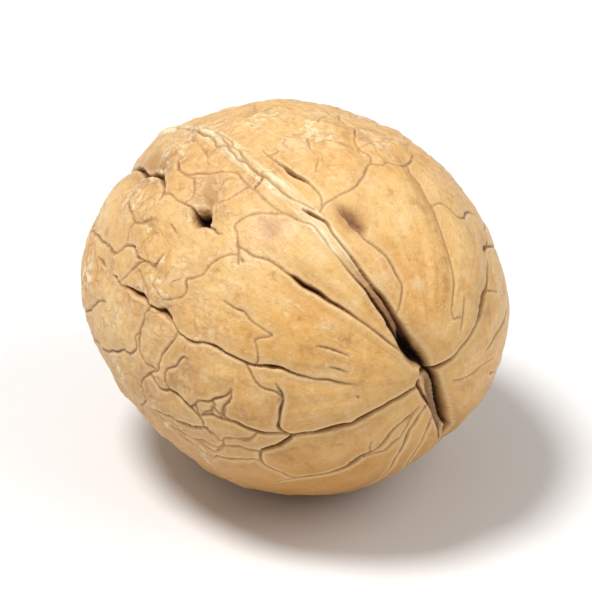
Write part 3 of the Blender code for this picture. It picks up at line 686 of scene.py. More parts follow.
def far_net():
    """The net's creases: each knot is joined to the next row, and every other one to its neighbour."""
    draw = random.Random(NET_SEED)
    rows = [net_row(draw, row) for row in range(NET_FIRST_ROW_DEG, NET_LAST_ROW_DEG, NET_ROW_STEP_DEG)]
    creases = []
    for row, next_row in zip(rows, rows[1:]):
        for number, knot in enumerate(row):
            below = min(next_row, key=lambda other: abs(turn_between(knot, other)))
            creases.append(net_crease(draw, knot, below))
            if number % 2:
                creases.append(net_crease(draw, knot, row[number - 1]))
    away_from = Vector(NET_AWAY_FROM)
    return [
        crease
        for crease in creases
        if all(Vector(directions(point[0], point[1])).dot(away_from) < NET_EDGE for point in crease)
    ]


def traced(points):
    """A smooth line through a crease's points: its places on the bare shell and its depths."""
    rows = np.array(points, dtype=float)
    rows = np.vstack([2 * rows[0] - rows[1], rows, 2 * rows[-1] - rows[-2]])
    line = []
    for first, second, third, fourth in zip(rows, rows[1:], rows[2:], rows[3:]):
        for step in range(LINE_STEPS):
            t = step / LINE_STEPS
            line.append(
                0.5
                * (
                    2 * second
                    + (third - first) * t
                    + (2 * first - 5 * second + 4 * third - fourth) * t ** 2
                    + (3 * second - first - 3 * third + fourth) * t ** 3
                )
            )
    line.append(rows[-2])
    line = np.array(line)
    places = directions(line[:, 0], line[:, 1]) * half_lengths()
    return places, np.maximum(line[:, 2], 0.0) * TENTH


def on_bare_shell(places):
    """Places moved along the line from the centre to the nut's bare form."""
    units = places / half_lengths()
    return units / np.linalg.norm(units, axis=1)[:, None] * half_lengths()


def degrees_from_stem(places):
    """The angle from the stem end of places on the bare shell."""
    return np.degrees(np.arccos(np.clip(places[:, 0] * 2.0 / LENGTH, -1.0, 1.0)))


def crease_lines(wander):
    """Every crease as places on the bare shell, a little crinkled, and depths."""
    lines = []
    for points in list(CREASES.values()) + far_net():
        places, depths = traced(points)
        crinkled = smooth_step(CRINKLE_START_DEG, CRINKLE_FULL_DEG, degrees_from_stem(places))
        reach = wander * (CALM_WANDER + (1.0 - CALM_WANDER) * crinkled)
        bends = np.column_stack([noise_at(places, WANDER_SIZE, seed) for seed in WANDER_SEEDS])
        lines.append((on_bare_shell(places + reach[:, None] * bends), depths))
    owners = np.repeat(np.arange(len(lines)), [len(places) for places, _ in lines])
    every_place = kdtree.KDTree(len(owners))
    for number, place in enumerate(np.vstack([places for places, _ in lines])):
        every_place.insert(place, number)
    every_place.balance()
    return [joined(*line, every_place, owners != number) for number, line in enumerate(lines)]


def joined(places, depths, every_place, other):
    """A crease whose ends run on to the creases that they almost touch, or run out where they are free."""
    along = np.concatenate([[0.0], np.cumsum(np.linalg.norm(np.diff(places, axis=0), axis=1))])
    moved = places.copy()
    share = np.ones(len(places))
    for end, from_end in ((0, along), (-1, along[-1] - along)):
        foot, _, gap = every_place.find(places[end], filter=lambda number: other[number])
        if gap < JOIN_REACH:
            pull = np.clip(1.0 - from_end / JOIN_FADE, 0.0, 1.0)
            moved += pull[:, None] * (np.array(foot) - places[end])
        else:
            share = np.minimum(share, END_LEAST + (1.0 - END_LEAST) * from_end / END_REACH)
    return on_bare_shell(moved), depths * share


def short_runs(lines):
    """Every line's places and heights, cut into short runs that share their end points."""
    for places, heights in lines:
        for start in range(0, len(places) - 1, RUN_STEPS):
            end = start + RUN_STEPS + 1
            yield places[start:end], heights[start:end]


def nearest_on_line(points, places, depths):
    """For each point, its distance to the line, the line's depth there and its nearest place."""
    starts = places[:-1]
    spans = places[1:] - starts
    lengths = (spans ** 2).sum(axis=1)
    offsets = points[:, None, :] - starts[None, :, :]
    along = np.clip((offsets * spans).sum(axis=2) / lengths, 0.0, 1.0)
    gaps = np.linalg.norm(offsets - along[:, :, None] * spans, axis=2)
    best = gaps.argmin(axis=1)
    rows = np.arange(len(points))
    share = along[rows, best]
    depth = depths[best] * (1.0 - share) + depths[best + 1] * share
    foot = starts[best] + share[:, None] * spans[best]
    return gaps[rows, best], depth, foot


def close_to(points, places, reach):
    """Which points lie within reach of the ball round a line."""
    middle = (places.min(axis=0) + places.max(axis=0)) / 2.0
    radius = np.linalg.norm(places - middle, axis=1).max() + reach
    return np.flatnonzero(((points - middle) ** 2).sum(axis=1) < radius ** 2)


def smooth_step(low, high, value):
    """0 below low, 1 above high, and an even change between."""
    share = np.clip((value - low) / (high - low), 0.0, 1.0)
    return share * share * (3.0 - 2.0 * share)


def noise_at(points, size, seed=0.0):
    """Blender's own noise, from -1 to 1, at each point, with lumps of the given size."""
    shift = Vector((seed, -seed, 0.5 * seed))
    return np.array([noise.noise(Vector(point) / size + shift) for point in points])


def carved(points, lines, settings):
    """Depth of the creases and their shoulders, height of their lips, and their marks, at each point."""
    valley = np.zeros(len(points))
    shoulder = np.zeros(len(points))
    lip = np.zeros(len(points))
    line = np.zeros(len(points))
    for places, depths in short_runs(lines):
        near = close_to(points, places, SHOULDER_REACH)
        if not len(near):
            continue
        gap, depth, _ = nearest_on_line(points[near], places, depths)
        core = depth * (CORE_LEAST + (1.0 - CORE_LEAST) * smooth_step(CORE_FROM, CORE_FULL, depth))
        width = settings.crease_half_width + settings.crease_widening * core
        width += PIT_WIDENING * np.maximum(core - PIT_DEPTH, 0.0)
        valley[near] = np.maximum(valley[near], core * np.exp(-((gap / width) ** 2)))
        strength = LINE_LEAST + (1.0 - LINE_LEAST) * np.clip(depth / LINE_FULL_DEPTH, 0.0, 1.0)
        strength *= np.clip(depth / FAINT_DEPTH, 0.0, 1.0)
        soft = SHOULDER_SHARE * depth * np.exp(-((gap / SHOULDER_RADIUS) ** 2))
        pillow = settings.pillow_height * np.clip(depth / PILLOW_DEPTH, 0.0, 1.0)
        soft += pillow * np.exp(-gap / PILLOW_RADIUS)
        shoulder[near] = np.maximum(shoulder[near], soft)
        rim = np.minimum(depth, LIP_MOST) * np.exp(-(((gap - LIP_PLACE * width) / LIP_WIDTH) ** 2))
        lip[near] = np.maximum(lip[near], rim)
        mark = strength * np.clip(1.0 - gap / (LINE_REACH * width), 0.0, 1.0)
        line[near] = np.maximum(line[near], mark)
    return valley, shoulder, lip, line


def raised(points, lines, half_width):
    """Height of the soft banks along some lines, at each point."""
    height = np.zeros(len(points))
    for places, heights in short_runs([traced(line) for line in lines.values()]):
        near = close_to(points, places, RIDGE_REACH)
        if not len(near):
            continue
        gap, rise, _ = nearest_on_line(points[near], places, heights)
        height[near] = np.maximum(height[near], rise * np.exp(-((gap / half_width) ** 2)))
    return height


def swollen(points, swells):
    """Height of some broad swells and hollows at each point."""
    height = np.zeros(len(points))
    for from_stem, around, radius, rise in swells:
        middle = directions(from_stem, around) * half_lengths()
        gap = np.linalg.norm(points - middle, axis=1)
        height += rise * MM * np.exp(-0.5 * (gap / (radius * MM)) ** 2)
    return height


def laid_down():
    """The turn from the nut's own axes to how it lies."""
    rise = Matrix.Rotation(math.radians(-STEM_RISE_DEG), 3, "Y")
    roll = Matrix.Rotation(math.radians(ROLL_DEG), 3, "X")
    return rise @ roll


def shell_ball(lines):
    """A ball of fine triangles, split once more along the creases, and again along the deep ones."""
    ball = bmesh.new()
    bmesh.ops.create_icosphere(ball, subdivisions=BALL_ROUNDS, radius=1.0)
    split_beside(ball, lines, FINE_REACH, SLIDE_DEPTH)
    split_beside(ball, lines, FINER_REACH, FINER_DEPTH)
    return ball


def split_beside(ball, lines, reach, least_depth):
    """Splits the ball's edges that start beside a crease of at least some depth."""
    points = unit_directions(ball) * half_lengths()
    beside = np.zeros(len(points), dtype=bool)
    for places, depths in short_runs(lines):
        near = close_to(points, places, reach)
        if len(near):
            gap, depth, _ = nearest_on_line(points[near], places, depths)
            beside[near] |= (gap < reach) & (depth > least_depth)
    ball.verts.ensure_lookup_table()
    creased = [edge for edge in ball.edges if any(beside[corner.index] for corner in edge.verts)]
    bmesh.ops.subdivide_edges(ball, edges=creased, cuts=1, use_grid_fill=True)
    bmesh.ops.triangulate(ball, faces=ball.faces)
    ball.verts.index_update()
    ball.verts.ensure_lookup_table()


def closes_a_face(corner, slid):
    """Whether both other corners of one of this corner's faces already lie on a crease's line."""
    for face in corner.link_faces:
        if all(other.index in slid for other in face.verts if other is not corner):
            return True
    return False


def slid_to_creases(ball, lines):
    """The ball's corners on the bare shell, those close beside a crease slid on to its line."""
    points = unit_directions(ball) * half_lengths()
    slid = set()
    for places, depths in lines:
        near = close_to(points, places, SLIDE_REACH)
        gaps, depth, feet = nearest_on_line(points[near], places, depths)
        taken = np.empty((0, 3))
        for row in np.argsort(gaps):
            if gaps[row] > SLIDE_REACH:
                break
            corner = ball.verts[near[row]]
            foot = feet[row]
            if depth[row] < SLIDE_DEPTH or corner.index in slid:
                continue
            if len(taken) and np.linalg.norm(taken - foot, axis=1).min() < SLIDE_SPACING:
                continue
            if closes_a_face(corner, slid):
                continue
            points[corner.index] = foot
            slid.add(corner.index)
            taken = np.vstack([taken, foot])
    return on_bare_shell(points)


def unit_directions(ball):
    """The ball's corners as unit directions."""
    corners = np.array([corner.co for corner in ball.verts])
    return corners / np.linalg.norm(corners, axis=1)[:, None]


def wrinkles(points, settings):
    """Fine unevenness of the shell: low on the smooth panels, crinkled towards the tip."""
    crinkled = smooth_step(CRINKLE_START_DEG, CRINKLE_FULL_DEG, degrees_from_stem(points))
    coarse = noise_at(points, COARSE_SIZE, COARSE_SEED)
    middle = noise_at(points, MIDDLE_SIZE, MIDDLE_SEED)
    fine = noise_at(points, FINE_SIZE, FINE_SEED)
    folds = 0.5 - 2.0 * np.abs(middle)
    rough = ROUGH_COARSE * coarse + ROUGH_FOLDS * folds + ROUGH_FINE * fine
    smooth = SMOOTH_COARSE * coarse + SMOOTH_MIDDLE * middle
    return settings.crinkle_height * (crinkled * rough + CALM_SHARE * (1.0 - crinkled) * smooth)


def pleats(points, settings):
    """Shallow pleats that run lengthwise from the stem end and fade out half way to the tip."""
    from_stem = degrees_from_stem(points)
    around = points[:, 1:] / half_lengths()[1:]
    around /= np.maximum(np.linalg.norm(around, axis=1), LEAST_WIDTH)[:, None]
    spread = np.column_stack([from_stem / PLEAT_LENGTH_DEG, around * PLEAT_COUNT / math.tau])
    fade = smooth_step(PLEAT_END_DEG, PLEAT_FADE_DEG, from_stem)
    fade *= smooth_step(0.0, PLEAT_START_DEG, from_stem)
    return settings.pleat_height * fade * noise_at(spread, 1.0, PLEAT_SEED)


def shell_form(points, lines, settings):
    """The shell's surface in the nut's own axes, and what its finish needs to know about each corner."""
    valley, shoulder, lip, line = carved(points, lines, settings)
    ridge = raised(points, RIDGES, RIDGE_HALF_WIDTH)
    strip = raised(points, STRIPS, STRIP_HALF_WIDTH)
    trough = raised(points, TROUGHS, TROUGH_HALF_WIDTH)
    dent = swollen(points, DENTS)
    height = swollen(points, SWELLS) + dent + ridge - trough
    height -= np.maximum(valley, strip) + shoulder
    height += LUMP_HEIGHT * noise_at(points, LUMP_SIZE)
    height += wrinkles(points, settings) + pleats(points, settings)
    height += settings.lip_height * lip / LIP_MOST
    reach = np.linalg.norm(points, axis=1)
    places = points * (1.0 + height / reach)[:, None]
    marks = {
        "crease": line,
        "deep": smooth_step(DEEP_FROM, DEEP_FULL, valley),
        "shoulder": np.clip(shoulder / SHOULDER_FULL_PAINTED_SHADE, 0.0, 1.0),
        "strip": np.clip(strip / STRIP_FULL_DARK, 0.0, 1.0),
        "dent": np.clip(-dent / DENT_FULL_PAINTED_SHADE, 0.0, 1.0),
        "trough": np.clip(trough / TROUGH_FULL_PAINTED_SHADE, 0.0, 1.0),
        "lip": lip / LIP_MOST,
        "seam": smooth_step(SEAM_PALE_FROM, SEAM_PALE_FULL, ridge),
        "stem": 1.0 - smooth_step(0.0, STEM_SHADE_DEG, degrees_from_stem(points)),
        "crinkled": smooth_step(CRINKLE_START_DEG, CRINKLE_FULL_DEG, degrees_from_stem(points)),
    }
    return places, marks


def flattened(places):
    """The lowest part of the shell, brought up to one level: the spot that it rests on."""
    level = -CENTRE[2]
    below = places[:, 2] < level
    places[below] *= (level / places[below, 2])[:, None]
    places[below, 2] = level
    return places


class Value:
    """A socket that adds Math nodes when it is used in an expression."""

    def __init__(self, shader, socket):
        self.shader = shader
        self.socket = socket

    def maths(self, operation, *values):
        """A Math node."""
        return self.shader.node("ShaderNodeMath", {"operation": operation}, dict(enumerate(values)))

    def __add__(self, other):
        return self.maths("ADD", self, other)

    __radd__ = __add__

    def __sub__(self, other):
        return self.maths("SUBTRACT", self, other)

    def __rsub__(self, other):
        return self.maths("SUBTRACT", other, self)

    def __mul__(self, other):
        return self.maths("MULTIPLY", self, other)

    __rmul__ = __mul__


class Shader:
    """Adds nodes to a material's tree."""

    def __init__(self, name):
        self.material = bpy.data.materials.new(name)
        self.material.use_nodes = True
        self.tree = self.material.node_tree
        self.surface = self.tree.nodes["Principled BSDF"]

    def node(self, kind, settings, sockets, output=0):
        """Any node: its type, its settings, its sockets' values or links, and the output to use."""
        made = self.tree.nodes.new(kind)
        for name, value in settings.items():
            setattr(made, name, value)
        for place, value in sockets.items():
            self.plug(made.inputs[place], value)
        return Value(self, made.outputs[output])

    def plug(self, place, value):
        """Links an expression to a socket, or sets a constant on it."""
        if isinstance(value, Value):
            self.tree.links.new(value.socket, place)
        else:
            place.default_value = value

    def finish(self, values):
        """Sets what the material's surface is made of, by the names of its sockets."""
        for name, value in values.items():
            self.plug(self.surface.inputs[name], value)

    def mark(self, name):
        """One of the shell's own marks, from 0 to 1."""
        return self.node("ShaderNodeAttribute", {"attribute_name": name}, {}, "Fac")

    def blend(self, share, first, second):
        """From the first colour to the second as share goes from 0 to 1."""
        settings = {"data_type": "RGBA", "clamp_factor": True}
        return self.node("ShaderNodeMix", settings, {0: share, 6: first, 7: second}, 2)

    def band(self, value, start, full):
        """0 at the start, 1 where it is full, which may be the lower value, and even between."""
        settings = {"interpolation_type": "SMOOTHSTEP"}
        sockets = {0: value, 1: start, 2: full, 3: 0.0, 4: 1.0}
        return self.node("ShaderNodeMapRange", settings, sockets)

    def speckle(self, places, scale, detail, roughness):
        """Noise from 0 to 1 at so many lumps a metre."""
        sockets = {"Vector": places, "Scale": scale, "Detail": detail, "Roughness": roughness}
        return self.node("ShaderNodeTexNoise", {}, sockets, "Fac")

    def in_nut_axes(self):
        """Places in the nut's own axes."""
        places = self.node("ShaderNodeTexCoord", {}, {}, "Object")
        sockets = {"Vector": places, "Location": CENTRE, "Rotation": laid_down().to_euler()}
        return self.node("ShaderNodeMapping", {"vector_type": "TEXTURE"}, sockets)

    def height(self):
        """Height above the surface that the nut rests on, in metres."""
        places = self.node("ShaderNodeTexCoord", {}, {}, "Object")
        return self.node("ShaderNodeSeparateXYZ", {}, {0: places}, "Z")

    def vector(self, operation, *values):
        """A Vector Math node."""
        return self.node("ShaderNodeVectorMath", {"operation": operation}, dict(enumerate(values)))

    def lengthwise(self, places, squeeze):
        """Directions round the axis with the length added, so that a pattern runs from end to end."""
        around = self.vector("NORMALIZE", self.vector("MULTIPLY", places, (0.0, 1.0, 1.0)))
        return self.vector("MULTIPLY_ADD", places, (squeeze, 0.0, 0.0), around)

    def bent(self, places, scale, reach):
        """Places moved by noise, so that a pattern on them runs unevenly."""
        sockets = {"Vector": places, "Scale": scale, "Detail": BEND_DETAIL}
        moves = self.node("ShaderNodeTexNoise", {}, sockets, "Color")
        return self.vector("MULTIPLY_ADD", moves, (reach, reach, reach), places)

    def ridged(self, value, width):
        """1 where a value crosses one half, and 0 beside."""
        gap = value.maths("ABSOLUTE", value - 0.5)
        return 1.0 - self.band(gap, 0.0, width)

    def veins(self, places, scale, width):
        """1 on the lines of a net of so many cells a metre, and 0 beside them."""
        sockets = {"Vector": places, "Scale": scale}
        gap = self.node("ShaderNodeTexVoronoi", {"feature": "DISTANCE_TO_EDGE"}, sockets, "Distance")
        return 1.0 - self.band(gap, 0.0, width)


def shell_patterns(shader):
    """What varies over the shell, from 0 to 1: its marks, and the patterns of its finish."""
    band = shader.band
    even = shader.in_nut_axes()
    drawn = shader.lengthwise(even, LENGTH_SQUEEZE)
    bent = shader.bent(even, BEND_SCALE, BEND_REACH)
    found = {name: shader.speckle(even, *shape) for name, shape in EVEN_NOISES.items()}
    found.update({name: shader.mark(name) for name in MARKS})
    found["streak"] = shader.speckle(drawn, *STREAK_NOISE)
    found["fibre"] = shader.speckle(drawn, *FIBRE_NOISE)
    share = PANEL_VEINS + (1.0 - PANEL_VEINS) * found["crinkled"]
    veins = shader.veins(bent, VEIN_SCALE, VEIN_WIDTH)
    found["vein"] = veins * band(found["cloud"], *VEIN_BAND) * share
    folds = shader.ridged(shader.speckle(bent, *FOLD_NOISE), FOLD_WIDTH)
    found["fold"] = folds * band(found["patch"], *FOLD_BAND) * share
    # painted highlight: whitish patches on the crinkled part, and glint specks all over
    found["frost"] = band(found["bloom"], *PAINTED_HIGHLIGHT_BAND) * found["crinkled"]
    found["glint"] = band(found["sparkle"], *GLINT_BAND)
    # where the painted shade of the lower half lies, by height above the floor
    found["low"] = 1.0 - band(shader.height(), UNDERSIDE_SHADE_FULL, UNDERSIDE_SHADE_END)
    return found


def shell_colour(shader, on, colours):
    """The shell's colour, laid on in layers by what varies over it: from its panels to its pits, with
    painted shade beside its creases, in its hollows and pits, at the stem end and towards the bottom, and
    painted highlights on its crinkled part and partly on its lips.
    """
    band, blend = shader.band, shader.blend
    colour = blend(band(on["cloud"], *WARM_BAND), colours.body, colours.warm)
    blush = band(on["flush"], *BLUSH_BAND) * (PANEL_BLUSH + TIP_BLUSH * on["crinkled"])
    colour = blend(blush, colour, colours.blush)
    for name, start, full, share, tint in FINE_LAYERS:
        colour = blend(band(on[name], start, full) * share, colour, getattr(colours, tint))
    # painted highlight: whitish glint specks
    colour = blend(on["glint"] * PAINTED_GLINT_SHARE, colour, colours.frost)
    # painted shade: brown on the shoulders beside the creases, in the troughs and in the dents
    brown = (on["shoulder"] + on["trough"]) * PAINTED_SLOPE_SHADE_SHARE
    brown += on["dent"] * (PAINTED_DENT_SHADE_SHARE - DENT_MOTTLE * on["patch"])
    colour = blend(brown, colour, colours.fleck_and_painted_shade)
    # painted shade: the stem end darkened towards the warm colour
    colour = blend(on["stem"] * PAINTED_STEM_SHADE_SHARE, colour, colours.warm)
    # painted shade: a deeper tan towards the bottom
    colour = blend(on["low"] * PAINTED_UNDERSIDE_SHADE_SHARE, colour, colours.painted_underside_shade)
    # the raised lips paler: worn edges, and partly a painted highlight along the creases
    colour = blend(on["lip"] * LIP_PALE_AND_HIGHLIGHT_SHARE, colour, colours.pale)
    # painted highlight: the crinkled part paler, and whitish patches in its grain
    colour = blend(on["crinkled"] * TIP_PAINTED_HIGHLIGHT, colour, colours.frost)
    frost = on["frost"] * band(on["grain"], *PAINTED_HIGHLIGHT_GRAIN_BAND)
    colour = blend(frost * PAINTED_HIGHLIGHT_SHARE, colour, colours.frost)
    cream = SEAM_SHARE - SEAM_MOTTLE * band(on["streak"], *STRAND_BAND)
    colour = blend(band(on["seam"], *SEAM_BAND) * cream, colour, colours.seam)
    colour = blend(on["vein"] * VEIN_SHARE + on["fold"] * FOLD_SHARE, colour, colours.fleck_and_painted_shade)
    line = on["crease"] + LINE_MOTTLE * (on["patch"] - 0.5)
    colour = blend(band(line, *EDGE_BAND) * EDGE_SHARE, colour, colours.fleck_and_painted_shade)
    core = band(line, *CORE_BAND) * (1.0 - SEAM_LINE_FADE * on["seam"])
    colour = blend(core, colour, colours.crease)
    bark = on["strip"] * (STRIP_SHARE - STRIP_MOTTLE * on["grain"])
    colour = blend(bark, colour, colours.bark)
    # painted shade: almost black at the bottom of pits and gaps, by their depth
    return blend(on["deep"], colour, colours.deep)


def shell_material(colours):
    """Golden-brown shell, darker in its creases, cream on its seam, with a dull wax sheen."""
    shader = Shader("walnut shell")
    on = shell_patterns(shader)
    roughness = BASE_ROUGHNESS
    for name, share in ROUGHNESS_SHARES.items():
        roughness = roughness + share * on[name]
    height = HIGHLIGHT_PATCH_RELIEF * on["frost"] * on["grain"]
    for name, share in RELIEF_SHARES.items():
        height = height + share * on[name]
    relief = {"Strength": 1.0, "Distance": RELIEF_HEIGHT, "Height": height}
    shader.finish({
        "Base Color": shell_colour(shader, on, colours),
        "Roughness": roughness,
        "Normal": shader.node("ShaderNodeBump", {}, relief),
        **SHEEN,
    })
    return shader.material


def floor_material(colour):
    """The stage's plain matt floor."""
    shader = Shader("floor")
    shader.finish({
        "Base Color": (*colour, 1.0),
        "Roughness": FLOOR_ROUGHNESS,
        "Specular IOR Level": FLOOR_SPECULAR,
    })
    return shader.material


class WalnutShellSettings(bpy.types.PropertyGroup):
    """Sizes of the shell's fine relief."""

    crease_half_width: bpy.props.FloatProperty(
        name="Crease half width", description="Half the width of the shallowest crease",
        default=0.00010, min=0.00005, unit="LENGTH",
    )
    crease_widening: bpy.props.FloatProperty(
        name="Widening", description="How much a crease's half width grows with its depth",
        default=0.11, min=0.0, subtype="FACTOR", max=1.0,
    )
    wander: bpy.props.FloatProperty(
        name="Wander", description="How far a crease strays from its smooth line",
        default=0.00028, min=0.0, unit="LENGTH",
    )
    lip_height: bpy.props.FloatProperty(
        name="Lip height", description="Height of the raised edge beside a crease",
        default=0.00009, min=0.0, unit="LENGTH",
    )
    pillow_height: bpy.props.FloatProperty(
        name="Pillow height", description="How far the shell bulges between creases",
        default=0.00014, min=0.0, unit="LENGTH",
    )
    pleat_height: bpy.props.FloatProperty(
        name="Pleat height", description="Height of the lengthwise pleats from the stem end",
        default=0.00016, min=0.0, unit="LENGTH",
    )
    crinkle_height: bpy.props.FloatProperty(
        name="Crinkle height", description="Height of the wrinkles between the creases",
        default=0.00024, min=0.0, unit="LENGTH",
    )


class WalnutColourSettings(bpy.types.PropertyGroup):
    """Colours of the shell's finish."""

    body: bpy.props.FloatVectorProperty(
        name="Body", description="Golden tan of the panels", subtype="COLOR", size=4,
        default=(0.83, 0.525, 0.20, 1.0),
    )
    warm: bpy.props.FloatVectorProperty(
        name="Warm", description="Warmer clouds on the panels", subtype="COLOR", size=4,
        default=(0.78, 0.43, 0.13, 1.0),
    )
    # also the lips' paler edges, partly a painted highlight
    pale: bpy.props.FloatVectorProperty(
        name="Pale", description="Paler patches", subtype="COLOR", size=4,
        default=(0.90, 0.65, 0.34, 1.0),
    )
    blush: bpy.props.FloatVectorProperty(
        name="Blush", description="Pinkish clouds towards the tip", subtype="COLOR", size=4,
        default=(0.78, 0.46, 0.18, 1.0),
    )
    # painted shade: this deeper tan of the lower half stands in for shade
    painted_underside_shade: bpy.props.FloatVectorProperty(
        name="Underside", description="Deeper tan of the nut's lower half", subtype="COLOR", size=4,
        default=(0.46, 0.205, 0.032, 1.0),
    )
    # painted highlight: the whitish colour of the glints and the highlight patches
    frost: bpy.props.FloatVectorProperty(
        name="Frost", description="Whitish bloom on the crinkled parts", subtype="COLOR", size=4,
        default=(0.95, 0.82, 0.54, 1.0),
    )
    # also the painted shade on the shoulders beside the creases, in troughs and in dents
    fleck_and_painted_shade: bpy.props.FloatVectorProperty(
        name="Fleck", description="Darker flecks, fibres and the sides of grooves", subtype="COLOR", size=4,
        default=(0.46, 0.225, 0.075, 1.0),
    )
    seam: bpy.props.FloatVectorProperty(
        name="Seam", description="Cream of the raised seam", subtype="COLOR", size=4,
        default=(0.95, 0.85, 0.56, 1.0),
    )
    crease: bpy.props.FloatVectorProperty(
        name="Crease", description="Brown of the creases", subtype="COLOR", size=4,
        default=(0.22, 0.095, 0.03, 1.0),
    )
    bark: bpy.props.FloatVectorProperty(
        name="Bark", description="Rusty brown of the sunk strips", subtype="COLOR", size=4,
        default=(0.26, 0.115, 0.055, 1.0),
    )
    # painted shade of the bottoms of pits and gaps
    deep: bpy.props.FloatVectorProperty(
        name="Deep", description="Almost black brown of pits and gaps", subtype="COLOR", size=4,
        default=(0.025, 0.011, 0.007, 1.0),
    )


class WalnutStageSettings(bpy.types.PropertyGroup):
    """Camera, light and floor."""

    azimuth: bpy.props.FloatProperty(
        name="Camera azimuth", description="Round the nut; 0 looks along +Y, 90 along -X",
        default=math.radians(55.9), subtype="ANGLE", unit="ROTATION",
    )
    elevation: bpy.props.FloatProperty(
        name="Camera elevation", description="Height of the view above the horizon",
        default=math.radians(32.0), subtype="ANGLE", unit="ROTATION",
    )
    distance: bpy.props.FloatProperty(
        name="Camera distance", description="From the nut's centre", default=0.60, unit="LENGTH",
    )
    frame_width: bpy.props.FloatProperty(
        name="Frame width", description="Width that the picture covers at the nut", default=0.056,
        unit="LENGTH",
    )
    floor: bpy.props.FloatVectorProperty(
        name="Floor", description="Colour of the floor", subtype="COLOR", size=3,
        default=(0.86, 0.855, 0.85),
    )
    key_power: bpy.props.FloatProperty(
        name="Key light", description="Power of the large light above the nut's left side",
        default=5.6, unit="POWER",
    )
    fill_power: bpy.props.FloatProperty(
        name="Fill light", description="Power of the soft light from the right", default=1.9, unit="POWER",
    )
    sky: bpy.props.FloatProperty(
        name="Sky", description="Strength of the even light from all round", default=0.34, min=0.0,
    )


class WALNUT_OT_shell(bpy.types.Operator):
    """Model the shell on the walnut's node, with its creases and its finish"""

    bl_idname = "walnut.shell"
    bl_label = "Walnut shell"

    def execute(self, context):
        settings = context.scene.walnut_shell
        lines = crease_lines(settings.wander)
        ball = shell_ball(lines)
        places, marks = shell_form(slid_to_creases(ball, lines), lines, settings)
        places = flattened(places @ np.array(laid_down()).T) + CENTRE
        for corner, place in zip(ball.verts, places):
            corner.co = place
        mesh = bpy.data.meshes.new("walnut_shell")
        ball.to_mesh(mesh)
        ball.free()
        if len(mesh.polygons) > MOST_TRIANGLES:
            raise RuntimeError(f"the shell has {len(mesh.polygons)} triangles")
        for name, values in marks.items():
            mesh.attributes.new(name, "FLOAT", "POINT").data.foreach_set("value", values)
        mesh.shade_smooth()
        mesh.materials.append(shell_material(context.scene.walnut_colours))
        shell = bpy.data.objects.new("walnut_shell", mesh)
        context.scene.collection.objects.link(shell)
        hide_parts(NODE)
        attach(shell, BODY)
        print("shell triangles", len(mesh.polygons))
        return {"FINISHED"}


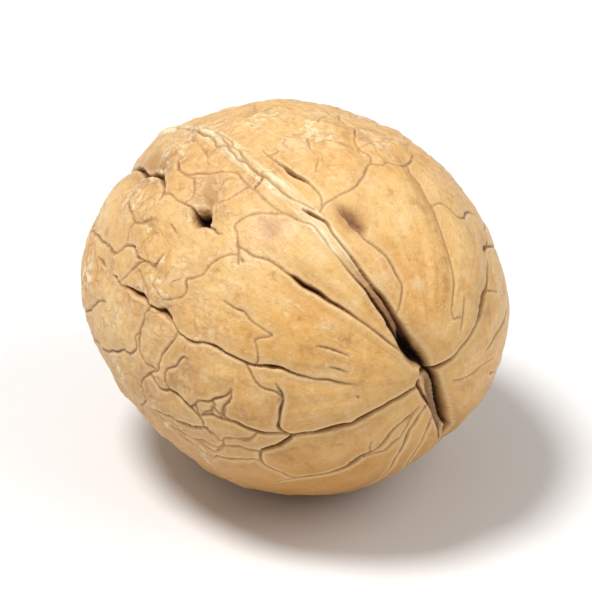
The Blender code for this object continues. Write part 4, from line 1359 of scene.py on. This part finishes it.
class WALNUT_OT_stage(bpy.types.Operator):
    """Set the floor, the soft lights and the camera"""

    bl_idname = "walnut.stage"
    bl_label = "Stage"

    def execute(self, context):
        settings = context.scene.walnut_stage
        square = bmesh.new()
        bmesh.ops.create_grid(square, x_segments=1, y_segments=1, size=FLOOR_HALF_WIDTH)
        mesh = bpy.data.meshes.new("floor")
        square.to_mesh(mesh)
        square.free()
        mesh.materials.append(floor_material(settings.floor))
        floor = bpy.data.objects.new("floor", mesh)
        context.scene.collection.objects.link(floor)

        target = Vector(CENTRE)
        azimuth, elevation = settings.azimuth, settings.elevation
        back = Vector((
            math.sin(azimuth) * math.cos(elevation),
            -math.cos(azimuth) * math.cos(elevation),
            math.sin(elevation),
        ))
        turn = back.to_track_quat("Z", "Y")
        lens = bpy.data.cameras.new("camera")
        lens.sensor_width = SENSOR_WIDTH
        lens.lens = SENSOR_WIDTH * settings.distance / settings.frame_width
        lens.clip_start = NEAREST_SEEN
        camera = bpy.data.objects.new("camera", lens)
        camera.rotation_mode = "QUATERNION"
        camera.rotation_quaternion = turn
        camera.location = target + settings.distance * back
        context.scene.collection.objects.link(camera)
        context.scene.camera = camera

        for name, toward, size, power in (
            ("key light", KEY_FROM, KEY_SIZE, settings.key_power),
            ("fill light", FILL_FROM, FILL_SIZE, settings.fill_power),
        ):
            light = bpy.data.lights.new(name, "AREA")
            light.shape = "DISK"
            light.size = size
            light.energy = power
            lamp = bpy.data.objects.new(name, light)
            direction = turn @ Vector(toward).normalized()
            lamp.location = target + LIGHT_DISTANCE * direction
            lamp.rotation_mode = "QUATERNION"
            lamp.rotation_quaternion = direction.to_track_quat("Z", "Y")
            context.scene.collection.objects.link(lamp)

        world = bpy.data.worlds.new("sky")
        world.use_nodes = True
        sky = world.node_tree.nodes["Background"]
        sky.inputs["Color"].default_value = SKY_COLOUR
        sky.inputs["Strength"].default_value = settings.sky
        context.scene.world = world
        context.scene.view_settings.view_transform = "Standard"
        return {"FINISHED"}


class WALNUT_PT_panel(bpy.types.Panel):
    """Lists the walnut's settings and operators"""

    bl_label = "Walnut"
    bl_space_type = "VIEW_3D"
    bl_region_type = "UI"
    bl_category = "Walnut"

    def draw(self, context):
        for group, operator in (
            ("walnut_shell", "walnut.shell"),
            ("walnut_colours", None),
            ("walnut_stage", "walnut.stage"),
        ):
            box = self.layout.box()
            settings = getattr(context.scene, group)
            for name in settings.bl_rna.properties.keys():
                if name not in {"rna_type", "name"}:
                    box.prop(settings, name)
            if operator:
                box.operator(operator)


CLASSES = (
    WalnutShellSettings,
    WalnutColourSettings,
    WalnutStageSettings,
    WALNUT_OT_shell,
    WALNUT_OT_stage,
    WALNUT_PT_panel,
)


def register():
    """Adds the classes, and their settings to every scene."""
    for cls in CLASSES:
        bpy.utils.register_class(cls)
    bpy.types.Scene.walnut_shell = bpy.props.PointerProperty(type=WalnutShellSettings)
    bpy.types.Scene.walnut_colours = bpy.props.PointerProperty(type=WalnutColourSettings)
    bpy.types.Scene.walnut_stage = bpy.props.PointerProperty(type=WalnutStageSettings)


def unregister():
    """Takes the settings and the classes away again."""
    del bpy.types.Scene.walnut_stage
    del bpy.types.Scene.walnut_colours
    del bpy.types.Scene.walnut_shell
    for cls in reversed(CLASSES):
        bpy.utils.unregister_class(cls)


def main():
    """Builds the stage and the shell."""
    register()
    bpy.ops.walnut.stage()
    bpy.ops.walnut.shell()


if __name__ == "__main__":
    main()
